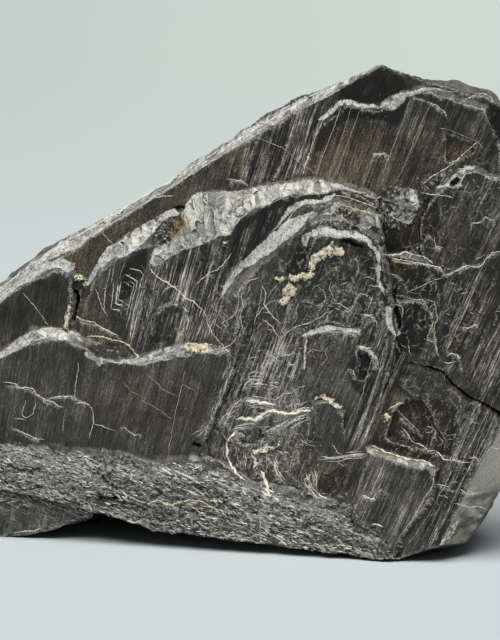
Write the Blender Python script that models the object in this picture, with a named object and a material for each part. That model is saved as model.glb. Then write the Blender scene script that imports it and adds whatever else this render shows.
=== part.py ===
"""A tantalite crystal: one blocky, tabular mass of grown-together lamellae, standing on its broken base.

Metres, +Z up, +Y away from the broad stepped face. The face is drawn as it is seen from 12 degrees above,
in picture points of 0.13 mm, and each outline is laid back onto the solid at its own depth.
"""

import math

import bmesh
import bpy
from mathutils import Vector

MM = 0.001

# Driving sizes
PICTURE_POINT = 0.13 * MM
VIEW_ELEVATION = math.radians(12)
FACE_TURN = math.radians(14)
FACE_BACK_LEAN = 8.0 * MM
FACE_DEEPEST = 9.5 * MM
CREST_DEPTH = 4.0 * MM
SHOULDER_DEPTH = 11.3 * MM
BACK_DEPTH = 24.8 * MM
BODY_MIDDLE = 30.0 * MM
BASE_BAND = 12.0 * MM
BACK_SAG = 10.0 * MM
BASE_DROP = 3.0 * MM
PLATE_ROOT = 3.0 * MM
HOLLOW_FLOOR_SHARE = 0.6
FOOT_RECESS = 2.2 * MM
FOOT_LENGTH = 18.0 * MM
FOOT_FALL = 0.5 * MM
ARCH_LENGTH = 18.0 * MM
ARCH_LEAN = 2.0 * MM
ARCH_FALL = 1.2 * MM
CORNER_CLEARANCE = 6.0 * MM
CORNER_LENGTH = 60.0 * MM
GROUND_REACH = 60.0 * MM

# Where the drawing meets the solid
CENTRE_POINT = 242
FLOOR_POINT = 564
FACE_TOP_POINT = 62
FACE_HEIGHT_POINTS = 500
TOE_POINT = 392

# Outlines of the body, in picture points, clockwise from the left end
FACE_OUTLINE = (
    (-58, 356), (-26, 314), (0, 296), (45, 267), (80, 243), (120, 219), (160, 193), (200, 167),
    (245, 142), (285, 119), (320, 97), (345, 86), (382, 65), (420, 81), (465, 95), (487, 100),
    (503, 112), (526, 143), (542, 205), (546, 300), (532, 395), (489, 447), (470, 480), (458, 510),
    (440, 546), (392, 562), (330, 554), (265, 546), (200, 538), (155, 533), (100, 516), (60, 506),
    (0, 494), (-48, 486), (-62, 430),
)
CREST_OUTLINE = (
    (-66, 346), (-32, 306), (0, 284), (40, 250), (80, 229), (130, 201), (168, 181), (202, 155),
    (248, 128), (280, 110), (320, 85), (352, 68), (386, 60), (422, 79), (466, 92), (488, 95),
    (505, 108), (531, 140), (548, 203), (553, 300), (545, 400), (502, 487), (482, 519), (468, 543),
    (444, 549), (392, 560), (330, 551), (265, 543), (200, 535), (155, 529), (100, 510), (60, 502),
    (0, 492), (-50, 486), (-68, 430),
)

# Ledge outlines: the foot of each step, its front edge, and the rest of the lamella
UPPER_LEDGE = dict(
    foot=((71, 330), (73, 310), (88, 280), (97, 262), (110, 246), (130, 233), (150, 221), (170, 208),
          (190, 196), (215, 191), (240, 191), (270, 183), (300, 180), (320, 178), (345, 183),
          (365, 190), (378, 198)),
    edge=((78, 330), (83, 307), (92, 284), (101, 272), (114, 260), (132, 250), (150, 246), (168, 255),
          (200, 245), (230, 234), (237, 221), (248, 211), (285, 198), (315, 194), (338, 190),
          (356, 196), (375, 206)),
    rest=((382, 235), (385, 262), (390, 296), (399, 325), (396, 345), (380, 400), (300, 430),
          (150, 410), (80, 380)),
)
FRINGE_LEDGE = dict(
    foot=((262, 252), (282, 222), (290, 215), (295, 207), (306, 201), (320, 201), (333, 195),
          (350, 200), (370, 207), (380, 215)),
    edge=((268, 256), (286, 228), (294, 220), (300, 212), (309, 207), (322, 207), (333, 202),
          (350, 207), (368, 213), (377, 221)),
    rest=((382, 240), (385, 262), (389, 296), (397, 325), (394, 345), (378, 400), (300, 425), (262, 330)),
)
DIAGONAL_LEDGE = dict(
    foot=((206, 345), (220, 296), (232, 282), (248, 265), (265, 250), (283, 230), (300, 217),
          (318, 211), (340, 214), (362, 224), (381, 238)),
    edge=((216, 345), (229, 303), (241, 288), (260, 266), (278, 252), (297, 236), (311, 224),
          (324, 219), (343, 221), (361, 230), (377, 243)),
    rest=((384, 264), (388, 298), (397, 326), (394, 345), (381, 400), (367, 440), (330, 480),
          (250, 480), (212, 420)),
)
ARCH_LEDGE = dict(
    foot=((294, 275), (303, 247), (309, 232), (325, 227), (350, 233), (366, 236), (373, 245),
          (379, 255), (380, 272), (384, 286), (388, 300), (397, 328)),
    edge=((303, 275), (309, 252), (314, 238), (326, 233), (348, 239), (361, 242), (368, 250),
          (374, 259), (375, 274), (378, 289), (381, 304), (388, 328)),
    rest=((386, 352), (374, 410), (352, 455), (300, 468), (262, 440), (268, 390), (284, 320)),
)
LOWER_LEFT_LEDGE = dict(
    foot=((-61, 352), (-30, 350), (0, 347), (20, 336), (28, 326), (55, 327), (78, 333), (105, 340),
          (124, 344), (137, 355), (150, 350), (170, 345), (187, 340), (213, 345), (233, 345)),
    edge=((-61, 360), (-30, 358), (0, 354), (22, 346), (48, 340), (66, 340), (84, 348), (96, 359),
          (118, 362), (138, 362), (158, 358), (175, 354), (190, 350), (211, 352), (229, 352)),
    rest=((231, 372), (224, 390), (215, 412), (204, 440), (200, 500), (100, 500), (0, 490), (-52, 480)),
)
LEFT_SHOULDER = dict(
    foot=((-62, 358), (-30, 314), (0, 291), (20, 279), (37, 270), (50, 264), (65, 265), (77, 274)),
    edge=((-61, 368), (-28, 323), (2, 298), (22, 286), (39, 276), (51, 270), (63, 271), (70, 281)),
    rest=((70, 305), (66, 330), (60, 380), (-20, 380), (-62, 400)),
)
POCKET_PLATE = dict(
    foot=((299, 372), (300, 336), (318, 325), (328, 323), (352, 328), (362, 333)),
    edge=((304, 372), (304, 340), (319, 331), (330, 329), (351, 334), (358, 339)),
    rest=((358, 358), (352, 388), (344, 398), (312, 398), (303, 390)),
)
CREAM_STEP = dict(
    foot=((306, 408), (312, 400), (325, 395), (338, 402), (347, 410)),
    edge=((309, 412), (315, 405), (325, 401), (335, 407), (343, 415)),
    rest=((346, 440), (330, 460), (305, 450)),
)
SHEARED_BAND = dict(
    foot=((-63, 438), (0, 443), (50, 444), (90, 447), (150, 459), (190, 455), (220, 461), (250, 480),
          (300, 490), (330, 500), (360, 515), (384, 534)),
    edge=((-62, 462), (0, 466), (50, 467), (90, 470), (150, 480), (190, 478), (215, 484), (245, 498),
          (295, 508), (325, 518), (354, 532), (376, 546)),
    rest=((386, 552), (384, 560), (330, 553), (265, 545), (200, 537), (155, 532), (100, 515),
          (60, 505), (0, 493), (-48, 486), (-60, 478)),
)
FRINGED_PLATE = dict(
    foot=((356, 470), (366, 446), (390, 453), (410, 459), (428, 463), (438, 470)),
    edge=((361, 474), (371, 453), (390, 459), (409, 464), (426, 469), (433, 477)),
    rest=((434, 485), (429, 503), (416, 520), (400, 540), (392, 560), (370, 556), (352, 520)),
)
RIGHT_LEDGE = dict(
    foot=((415, 214), (432, 191), (448, 177), (463, 169), (471, 167), (490, 172), (520, 180), (536, 190)),
    edge=((421, 218), (437, 196), (450, 184), (464, 176), (473, 173), (490, 178), (518, 186), (533, 196)),
    rest=((538, 290), (500, 300), (440, 290), (420, 250)),
)
STEP_UPPER = dict(
    foot=((382, 262), (383, 255), (405, 252), (427, 257), (433, 265)),
    edge=((385, 264), (386, 259), (405, 256), (425, 261), (429, 267)),
    rest=((440, 300), (438, 330), (388, 320)),
)
STEP_LOWER = dict(
    foot=((393, 306), (396, 296), (410, 297), (427, 301), (436, 313), (438, 322)),
    edge=((397, 307), (399, 300), (410, 301), (425, 305), (432, 316), (434, 324)),
    rest=((436, 350), (430, 372), (408, 362), (398, 340)),
)
APEX_LEDGE = dict(
    foot=((310, 134), (320, 119), (336, 110), (345, 101), (360, 104), (378, 107), (393, 97),
          (406, 93), (420, 87), (435, 91), (458, 98), (486, 106)),
    edge=((315, 137), (325, 124), (338, 115), (347, 107), (360, 110), (380, 113), (396, 104),
          (408, 98), (421, 93), (434, 96), (456, 104), (482, 112)),
    rest=((500, 150), (496, 200), (400, 215), (300, 190)),
)
CRACKED_BLOCK = dict(
    foot=((398, 385), (405, 368), (411, 362), (425, 366), (440, 370), (450, 382), (470, 397),
          (490, 407), (506, 418)),
    edge=((403, 388), (409, 373), (414, 367), (424, 371), (437, 376), (447, 387), (468, 402),
          (488, 412), (502, 421)),
    rest=((489, 446), (471, 478), (459, 508), (448, 508), (441, 470), (444, 440), (425, 410)),
)

# Hollows: the outline of each mouth
FISSURE = ((70, 286), (79, 284), (80, 300), (74, 326), (68, 326), (70, 306))
STAINED_HOLLOW = (
    (152, 222), (170, 210), (186, 204), (198, 205), (196, 222), (176, 238), (158, 246), (150, 238),
)
BROWN_RECESS = (
    (437, 129), (448, 131), (463, 137), (477, 143), (482, 155), (470, 163), (452, 168), (438, 172),
)
DARK_POCKET = ((446, 182), (456, 177), (462, 180), (456, 187), (446, 190))
BLACK_HOLE = ((389, 304), (397, 300), (403, 312), (403, 330), (396, 340), (391, 324))
SHADOW_SLOT = ((357, 350), (367, 346), (374, 356), (373, 374), (364, 388), (354, 386))
GNAWED_RECESS = (
    (381, 425), (386, 406), (404, 386), (424, 388), (438, 412), (442, 440), (434, 458), (404, 454),
    (376, 446),
)
BROWN_HOLLOW = ((312, 478), (322, 470), (338, 474), (342, 488), (328, 500), (314, 494))
LEFT_HOLLOW = ((228, 432), (240, 424), (262, 424), (272, 434), (262, 450), (240, 450))

# What is broken away beyond the right end of the base
TOE_CORNER = (
    (560, 380), (503, 484), (490, 507), (480, 525), (474, 536), (467, 543), (440, 553), (440, 620),
    (640, 620), (640, 380),
)

# The foot under the left end, and the low arch beside it
FOOT_OUTLINE = (
    (-52, 500), (-36, 482), (0, 486), (40, 493), (78, 502), (90, 509), (87, 520), (70, 526), (50, 533),
    (25, 538), (0, 541), (-38, 546),
)
ARCH_MOUTH = ((93, 518), (104, 517), (130, 527), (150, 534), (156, 556), (88, 556), (84, 524))


def screen_x(across):
    return (across - CENTRE_POINT) * PICTURE_POINT


def face_front(x):
    """Depth of the foremost lamella at this place along the face."""
    return (screen_x(TOE_POINT) - x) * math.tan(FACE_TURN)


def base_recess(down):
    """How far the body's own face lies behind the foremost lamella at this height."""
    return FACE_DEEPEST - FACE_BACK_LEAN * (down - FACE_TOP_POINT) / FACE_HEIGHT_POINTS


def on_solid(point, recess):
    """The place in space of a picture point whose surface lies this far behind the foremost lamella."""
    across, down = point
    x = screen_x(across)
    y = face_front(x) + recess
    up_screen = (FLOOR_POINT - down) * PICTURE_POINT
    return Vector((x, y, (up_screen - y * math.sin(VIEW_ELEVATION)) / math.cos(VIEW_ELEVATION)))


def loft(name, sections, collection):
    """A closed solid skinned over sections of equal count, listed from the front to the back."""
    mesh = bmesh.new()
    rings = [[mesh.verts.new(place) for place in section] for section in sections]
    count = len(rings[0])
    mesh.faces.new(rings[0])
    mesh.faces.new(list(reversed(rings[-1])))
    for front, back in zip(rings, rings[1:]):
        for i in range(count):
            j = (i + 1) % count
            mesh.faces.new((front[j], front[i], back[i], back[j]))
    mesh.normal_update()
    bmesh.ops.triangulate(mesh, faces=mesh.faces[:])
    bmesh.ops.recalc_face_normals(mesh, faces=mesh.faces[:])
    data = bpy.data.meshes.new(name)
    mesh.to_mesh(data)
    mesh.free()
    made = bpy.data.objects.new(name, data)
    collection.objects.link(made)
    return made


def shrunk(outline, share):
    """The outline drawn in towards its middle."""
    middle_x = sum(point[0] for point in outline) / len(outline)
    middle_y = sum(point[1] for point in outline) / len(outline)
    return [(middle_x + (x - middle_x) * share, middle_y + (y - middle_y) * share) for x, y in outline]


def fallen_back(crest, depth, width_share, turn_share, height_share, base_height):
    """The crest's outline moved back and drawn in, with its lower part laid level for the base."""
    ring = []
    for place in crest:
        height = BODY_MIDDLE + (place.z - BODY_MIDDLE) * height_share - (1 - height_share) * BACK_SAG
        if height < BASE_BAND:
            height = base_height
        ring.append(Vector((place.x * width_share, place.y * turn_share + depth, height)))
    return ring


def body(collection):
    """Stepped face, crest and broken back as one loft."""
    face = [on_solid(point, base_recess(point[1])) for point in FACE_OUTLINE]
    crest = [on_solid(point, base_recess(point[1]) + CREST_DEPTH) for point in CREST_OUTLINE]
    shoulder = fallen_back(crest, SHOULDER_DEPTH, 0.97, 1.0, 0.86, -BASE_DROP)
    back = fallen_back(crest, BACK_DEPTH, 0.80, 0.7, 0.60, 0.0)
    return loft("tantalite_crystal", (face, crest, shoulder, back), collection)


def foot(collection):
    """The lump under the left end, set back behind the sheared band."""
    front = [on_solid(point, FOOT_RECESS) for point in FOOT_OUTLINE]
    back = [place + Vector((0, FOOT_LENGTH, -FOOT_FALL)) for place in front]
    return loft("left_foot", (front, back), collection)


def arch(collection):
    """The low arch between the foot and the rest of the base."""
    mouth = [on_solid(point, 0) for point in ARCH_MOUTH]
    end = [place + Vector((ARCH_LEAN, ARCH_LENGTH, -ARCH_FALL)) for place in mouth]
    return loft("arch", (mouth, end), collection)


def toe_corner(collection):
    """The wedge broken away at the right end, cut straight back from its outline."""
    front = [on_solid(point, -CORNER_CLEARANCE) for point in TOE_CORNER]
    back = [on_solid(point, CORNER_LENGTH) for point in TOE_CORNER]
    return loft("toe_corner", (front, back), collection)


def break_back(solid):
    """The broken facets of the back and the two ends, each a plane through a place in millimetres."""
    facets = (
        (Vector((22, 25, 30)), Vector((0.42, 0.88, 0.16))),
        (Vector((-20, 33, 20)), Vector((-0.46, 0.85, 0.22))),
        (Vector((12, 27, 42)), Vector((0.05, 0.80, 0.58))),
        (Vector((-12, 31, 34)), Vector((-0.28, 0.74, 0.60))),
        (Vector((-37, 31, 20)), Vector((-0.80, 0.58, -0.05))),
        (Vector((36, 14, 22)), Vector((0.88, 0.44, -0.14))),
    )
    mesh = bmesh.new()
    mesh.from_mesh(solid.data)
    for place, normal in facets:
        cut = bmesh.ops.bisect_plane(
            mesh, geom=mesh.verts[:] + mesh.edges[:] + mesh.faces[:], plane_co=place * MM,
            plane_no=normal, clear_outer=True, dist=1e-7,
        )
        rim = [piece for piece in cut["geom_cut"] if isinstance(piece, bmesh.types.BMEdge)]
        bmesh.ops.contextual_create(mesh, geom=rim)
    bmesh.ops.recalc_face_normals(mesh, faces=mesh.faces[:])
    mesh.to_mesh(solid.data)
    mesh.free()


def lamella(name, outline, upper_recess, lower_recess, step, collection):
    """One growth layer that stands out of the face, as a step along its upper side that is gone at its lower."""
    foot = outline["foot"] + outline["rest"]
    edge = outline["edge"] + outline["rest"]
    top = min(down for across, down in foot)
    bottom = max(down for across, down in foot)

    def recess(point):
        return upper_recess + (lower_recess - upper_recess) * (point[1] - top) / (bottom - top)

    front = [on_solid(point, recess(point)) for point in edge]
    surface = [on_solid(point, recess(point) + step) for point in foot]
    root = [place + Vector((0, PLATE_ROOT, 0)) for place in surface]
    return loft(name, (front, surface, root), collection)


def hollow(name, outline, mouth_recess, floor_recess, collection):
    """A pit in the face: wide at the mouth and narrower at the bottom."""
    mouth = [on_solid(point, mouth_recess) for point in outline]
    floor = [on_solid(point, floor_recess) for point in shrunk(outline, HOLLOW_FLOOR_SHARE)]
    return loft(name, (mouth, floor), collection)


def standing_plane(collection):
    """A block under the crystal: what it takes off leaves the flats that the crystal stands on."""
    bpy.ops.mesh.primitive_cube_add(size=2 * GROUND_REACH, location=(0, 0, -GROUND_REACH))
    ground = bpy.context.object
    ground.name = "standing_plane"
    for holder in list(ground.users_collection):
        holder.objects.unlink(ground)
    collection.objects.link(ground)
    return ground


def centre_on_base(objects):
    """Hangs everything on one empty, moved so that the middle of the base is the origin."""
    carrier = bpy.data.objects.new("specimen", None)
    bpy.context.scene.collection.objects.link(carrier)
    for part in objects:
        part.parent = carrier
    crystal = objects[0]
    bpy.context.view_layer.update()
    solid = crystal.evaluated_get(bpy.context.evaluated_depsgraph_get())
    corners = [Vector(corner) for corner in solid.bound_box]
    low = [min(corner[axis] for corner in corners) for axis in range(3)]
    high = [max(corner[axis] for corner in corners) for axis in range(3)]
    carrier.location = (-(low[0] + high[0]) / 2, -(low[1] + high[1]) / 2, -low[2])


def boolean(target, tool, operation):
    modifier = target.modifiers.new(tool.name, "BOOLEAN")
    modifier.object = tool
    modifier.operation = operation
    modifier.solver = "EXACT"
    tool.hide_render = True
    tool.display_type = "WIRE"


def tantalite():
    """Dark brown-grey crystal with a dull metallic shine."""
    material = bpy.data.materials.new("tantalite")
    material.use_nodes = True
    shader = material.node_tree.nodes["Principled BSDF"]
    shader.inputs["Base Color"].default_value = (0.045, 0.040, 0.034, 1)
    shader.inputs["Roughness"].default_value = 0.42
    shader.inputs["Metallic"].default_value = 0.0
    return material


def main():
    for old in list(bpy.data.objects):
        bpy.data.objects.remove(old, do_unlink=True)
    parts = bpy.data.collections.new("Tantalite specimen")
    cutters = bpy.data.collections.new("Cutters")
    for collection in (parts, cutters):
        bpy.context.scene.collection.children.link(collection)

    crystal = body(parts)
    break_back(crystal)
    boolean(crystal, foot(cutters), "UNION")
    boolean(crystal, arch(cutters), "DIFFERENCE")
    boolean(crystal, toe_corner(cutters), "DIFFERENCE")

    # Name, outline, depth behind the foremost lamella at its upper and lower side, height of its step, in mm
    lamellae = (
        ("apex_ledge", APEX_LEDGE, 7.9, 7.3, 1.1),
        ("right_ledge", RIGHT_LEDGE, 6.5, 5.9, 1.3),
        ("left_shoulder", LEFT_SHOULDER, 4.9, 4.3, 1.3),
        ("step_upper", STEP_UPPER, 5.8, 5.4, 0.6),
        ("step_lower", STEP_LOWER, 5.1, 4.7, 0.6),
        ("upper_ledge", UPPER_LEDGE, 5.1, 4.0, 2.2),
        ("fringe_ledge", FRINGE_LEDGE, 4.3, 4.2, 0.7),
        ("diagonal_ledge", DIAGONAL_LEDGE, 3.2, 3.1, 1.4),
        ("arch_ledge", ARCH_LEDGE, 2.3, 3.3, 0.9),
        ("cracked_block", CRACKED_BLOCK, 3.3, 2.5, 1.2),
        ("lower_left_ledge", LOWER_LEFT_LEDGE, 2.4, 2.4, 2.4),
        ("pocket_plate", POCKET_PLATE, 1.7, 3.2, 1.0),
        ("cream_step", CREAM_STEP, 2.1, 3.3, 0.8),
        ("fringed_plate", FRINGED_PLATE, 1.3, 0.9, 1.6),
        ("sheared_band", SHEARED_BAND, 1.1, 0.8, 1.3),
    )
    for name, outline, upper, lower, step in lamellae:
        boolean(crystal, lamella(name, outline, upper * MM, lower * MM, step * MM, cutters), "UNION")

    # Name, outline, depth of the mouth and of the bottom behind the foremost lamella, in mm
    hollows = (
        ("fissure", FISSURE, 2.0, 8.0),
        ("stained_hollow", STAINED_HOLLOW, 3.0, 5.4),
        ("brown_recess", BROWN_RECESS, 5.0, 8.0),
        ("dark_pocket", DARK_POCKET, 4.0, 8.4),
        ("black_hole", BLACK_HOLE, 2.0, 6.0),
        ("shadow_slot", SHADOW_SLOT, 0.5, 3.6),
        ("gnawed_recess", GNAWED_RECESS, 1.0, 4.6),
        ("brown_hollow", BROWN_HOLLOW, 0.5, 4.4),
        ("left_hollow", LEFT_HOLLOW, 0.5, 4.0),
    )
    for name, outline, mouth, floor in hollows:
        boolean(crystal, hollow(name, outline, mouth * MM, floor * MM, cutters), "DIFFERENCE")
    boolean(crystal, standing_plane(cutters), "DIFFERENCE")

    crystal.data.materials.append(tantalite())
    centre_on_base([crystal] + list(cutters.objects))


if __name__ == "__main__":
    main()
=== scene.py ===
import functools
import itertools
import math
import random

import bpy
import numpy as np
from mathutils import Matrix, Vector
from mathutils.bvhtree import BVHTree


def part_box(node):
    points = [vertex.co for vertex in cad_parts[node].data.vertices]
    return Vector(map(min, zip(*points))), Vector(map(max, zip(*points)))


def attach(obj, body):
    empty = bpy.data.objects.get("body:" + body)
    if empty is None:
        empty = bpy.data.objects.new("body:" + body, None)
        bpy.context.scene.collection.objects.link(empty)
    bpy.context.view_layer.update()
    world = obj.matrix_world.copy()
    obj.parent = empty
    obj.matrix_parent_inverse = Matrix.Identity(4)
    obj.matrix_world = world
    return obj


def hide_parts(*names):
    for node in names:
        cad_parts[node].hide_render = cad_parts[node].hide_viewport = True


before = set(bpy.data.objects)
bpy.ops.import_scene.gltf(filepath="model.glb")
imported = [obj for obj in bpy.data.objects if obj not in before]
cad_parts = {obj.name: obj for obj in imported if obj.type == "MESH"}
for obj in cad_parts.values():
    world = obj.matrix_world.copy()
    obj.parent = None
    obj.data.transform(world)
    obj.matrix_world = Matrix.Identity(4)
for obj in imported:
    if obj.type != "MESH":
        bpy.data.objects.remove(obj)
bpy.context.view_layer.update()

bl_info = {
    "name": "Tantalite specimen",
    "version": (1, 0, 0),
    "blender": (4, 5, 0),
    "location": "View3D > Sidebar > Tantalite",
    "description": "Gives the tantalite crystal its striated, fractured and stained surface",
    "category": "Object",
}

MM = 0.001
NODE = "tantalite_crystal"
SURFACE = "tantalite_crystal_surface"
BODY = "root"
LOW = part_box(NODE)[0]

# The drawing of the face: picture points of 0.13 mm, seen from 12 degrees above, laid on the turned face
POINT = 0.13 * MM
PICTURE_WIDTH = 500
PICTURE_HEIGHT = 640
VIEW_ELEVATION = math.radians(12)
FACE_TURN = math.radians(14)
LEFT_END_POINT = -68
TOE_POINT = 392
FLOOR_POINT = 564
FACE_TOP_POINT = 62
FACE_DATUM = LOW.y + 0.59 * MM
FACE_DEEPEST = 9.5 * MM
LEAN_PER_POINT = 0.016 * MM
STRIA_LEAN = math.radians(20)
SHEAR_FALL = math.radians(18)
LOOK = Vector((0, math.cos(VIEW_ELEVATION), -math.sin(VIEW_ELEVATION)))
RAY_START = 80 * MM
FACE_OUT = np.array((-math.sin(FACE_TURN), -math.cos(FACE_TURN), 0.0))

# The point far below the picture from which the striae fan out
FAN = (-311, 2052)

# Places deeper than this behind the face, or this many points out of the picture, get large mesh cells
HIDDEN_DEPTH = 16 * MM
OUT_OF_PICTURE = 12

# The distance from an outline that is stored for places behind the face, in points
FAR_OUTSIDE = -12

# Share of a drawn step's height that its edge stands out by
STEP_SHARE = 0.6

# How far drawn lines, the band's upper edge and the crust's outline stray, in points
LINE_JAG, BAND_JAG, CRUST_JAG = 1.1, 13, 2.0

# Plates of the splintered ledges: size in mm along their three axes, and the seed of their pattern
PLATE_SIZE = np.array((1.1, 2.6, 3.4))
PLATE_SEED = 79

# Fall of the sheared band's leaves to the right, in radians
LEAF_FALL = 0.31

# Noise in the shape: size of a grain in mm, or in mm along three axes, then octaves, seed and gain
NOISE = {
    "jag across": (1.7, 3, 211, 0.65),
    "jag down": (1.7, 3, 223, 0.65),
    "band edge": (3.0, 5, 5, 0.6),
    "crust across": (0.9, 3, 113, 0.6),
    "crust down": (0.9, 3, 127, 0.6),
    "crust": (0.7, 2, 131, 0.5),
    "wander x": (1.9, 3, 11, 0.6),
    "wander y": (1.9, 3, 23, 0.6),
    "wander z": (1.9, 3, 37, 0.6),
    "ribs": ((1.3, 7.0, 26.0), 3, 61, 0.5),
    "flakes": ((3.2, 6.0, 7.0), 3, 67, 0.6),
    "leaves": ((4.0, 2.6, 1.3), 4, 83, 0.65),
    "swells": (5.0, 3, 71, 0.5),
    "crumbs": (0.7, 3, 73, 0.7),
    "splinters": (0.9, 3, 97, 0.6),
    "lumps": (9.0, 3, 101, 0.5),
    "shelves": (6.0, 2, 103, 0.5),
    "grit": (1.6, 2, 107, 0.5),
}

# How far some of that noise, the plates and the crust stand out, in mm. The last three are on the back
HEIGHTS = {
    "swells": 0.10, "crumbs": 0.36, "plates": 0.30, "crust": 0.40,
    "lumps": 0.7, "shelves": 0.45, "grit": 0.18,
}

# Turns the face's axes so that broken plates lie slanting, with their long side down to the left
SLANT = np.array(((0.82, 0.0, -0.57), (0.0, 1.0, 0.0), (0.57, 0.0, 0.82)))

# Large primes that scatter the values of the noise over its lattice
LATTICE_STEPS = np.array((73856093, 19349663, 83492791), np.int64)

# Grains to the metre in the vein mineral: one is 0.29 mm wide, coarser than real so that it shows
VEIN_GRAINS = 3500.0

# How many chips lie on the face, in its flaky middle and on its crumbly spots, and how many crumbs, strands
# beside the veins, and clusters of slivers in the sheared band
CHIPS, MIDDLE_CHIPS, CRUMBLY_CHIPS = 330, 240, 60
CRUMBS, STRANDS, SLIVER_CLUSTERS = 260, 220, 640
CHANCE_SEED = 41

# A ridge of vein or chip: the straight runs that its line is cut into, in points, and how unevenly its edges
# lie, as shares of its half width. Then its height, its root, how far its edges may lie from the depth of its
# middle, and the half width in points from which it has a broad top
RIDGE_RUNS = (1.5, 3.2)
RIDGE_EDGES = (0.4, 1.5)
RIDGE_HEIGHT = 0.14 * MM
RIDGE_ROOT = 0.25 * MM
RIDGE_FALL = 0.5 * MM
BROAD_RIDGE = 1.2

# Edges sharper than this stay crisp in the shading
SHARP_EDGE = math.radians(38)

# The stage: side of the floor, the way the light falls, and the camera's sensor in mm
FLOOR_SIDE = 5.0
LIGHT_FALL = Vector((0.04, 0.42, -1.0))
SENSOR_WIDTH = 36


def rows(text):
    """The rows of a drawn table: numbers, then a list of points. An indented line goes on with its row."""
    made = []
    for row in text.strip().replace("\n    ", " ").splitlines():
        words = row.split()
        points = [tuple(map(float, word.split(","))) for word in words if "," in word]
        made.append((*(float(word) for word in words if "," not in word), points))
    return made


def shapes(text):
    """The outlines or lines of a drawn table that has no numbers beside its points."""
    return [points for (points,) in rows(text)]


# Small growth steps, each drawn with the lamella that stands out on its lower side.
# Height of the step in mm, points below it over which the lamella sinks back, and its line.
STEPS = rows("""
0.5 40 150,340 150,320 155,312 163,306 170,302 182,303
0.35 35 361,313 373,316 376,322
0.3 25 368,284 382,287 390,291
0.25 20 355,293 368,295 374,299
0.3 30 340,312 352,306 360,294
0.45 35 388,259 415,263 440,269 443,276
0.4 30 428,233 434,238 435,246 443,250
0.3 25 388,273 399,275 404,281
0.4 30 433,322 436,342 438,360
0.35 30 356,346 366,347 374,355 377,370
0.3 20 348,368 354,372 356,380
0.35 25 371,163 374,155 386,155 390,162
0.4 25 240,392 247,382 255,378 264,381
0.4 22 220,420 228,408 236,401 246,398 260,401 276,405
0.45 22 236,421 247,418 259,419 272,411 290,414 312,410
0.4 22 228,441 238,433 247,436
0.4 22 226,446 229,462 242,479
0.4 20 250,453 266,452 280,441 285,440
0.35 20 270,458 277,470 284,486
0.3 30 232,340 236,320 243,304 253,290
0.35 25 408,98 420,100 432,105 443,113 448,119
0.3 25 460,103 470,97 481,96
0.45 25 331,204 352,209 372,214 397,220
0.35 40 228,181 242,180 249,187
0.3 35 446,357 450,353 459,360 463,372
0.3 25 390,411 397,404 405,402
0.35 30 395,409 405,420 415,430 426,438
0.35 25 400,426 412,441 428,449 437,452 452,458 468,462
0.35 30 320,458 345,456 366,455
0.4 25 360,496 373,500 382,487
0.3 30 435,484 448,487 459,489 468,493 481,491
0.3 35 442,276 460,268 480,264 486,256 501,253
0.3 30 300,341 302,360 302,380
0.35 40 38,400 50,398 72,398 88,405
0.3 30 0,384 15,387 32,392 45,402 63,410
0.25 25 120,426 132,436 142,436
0.3 25 10,428 30,439 42,441
0.3 30 195,438 200,433 207,424
0.35 40 70,312 82,321 103,329 125,342
0.3 25 457,326 466,328 477,323
0.35 30 478,224 484,218 495,221
0.3 30 330,180 345,186 357,190
""")

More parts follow.
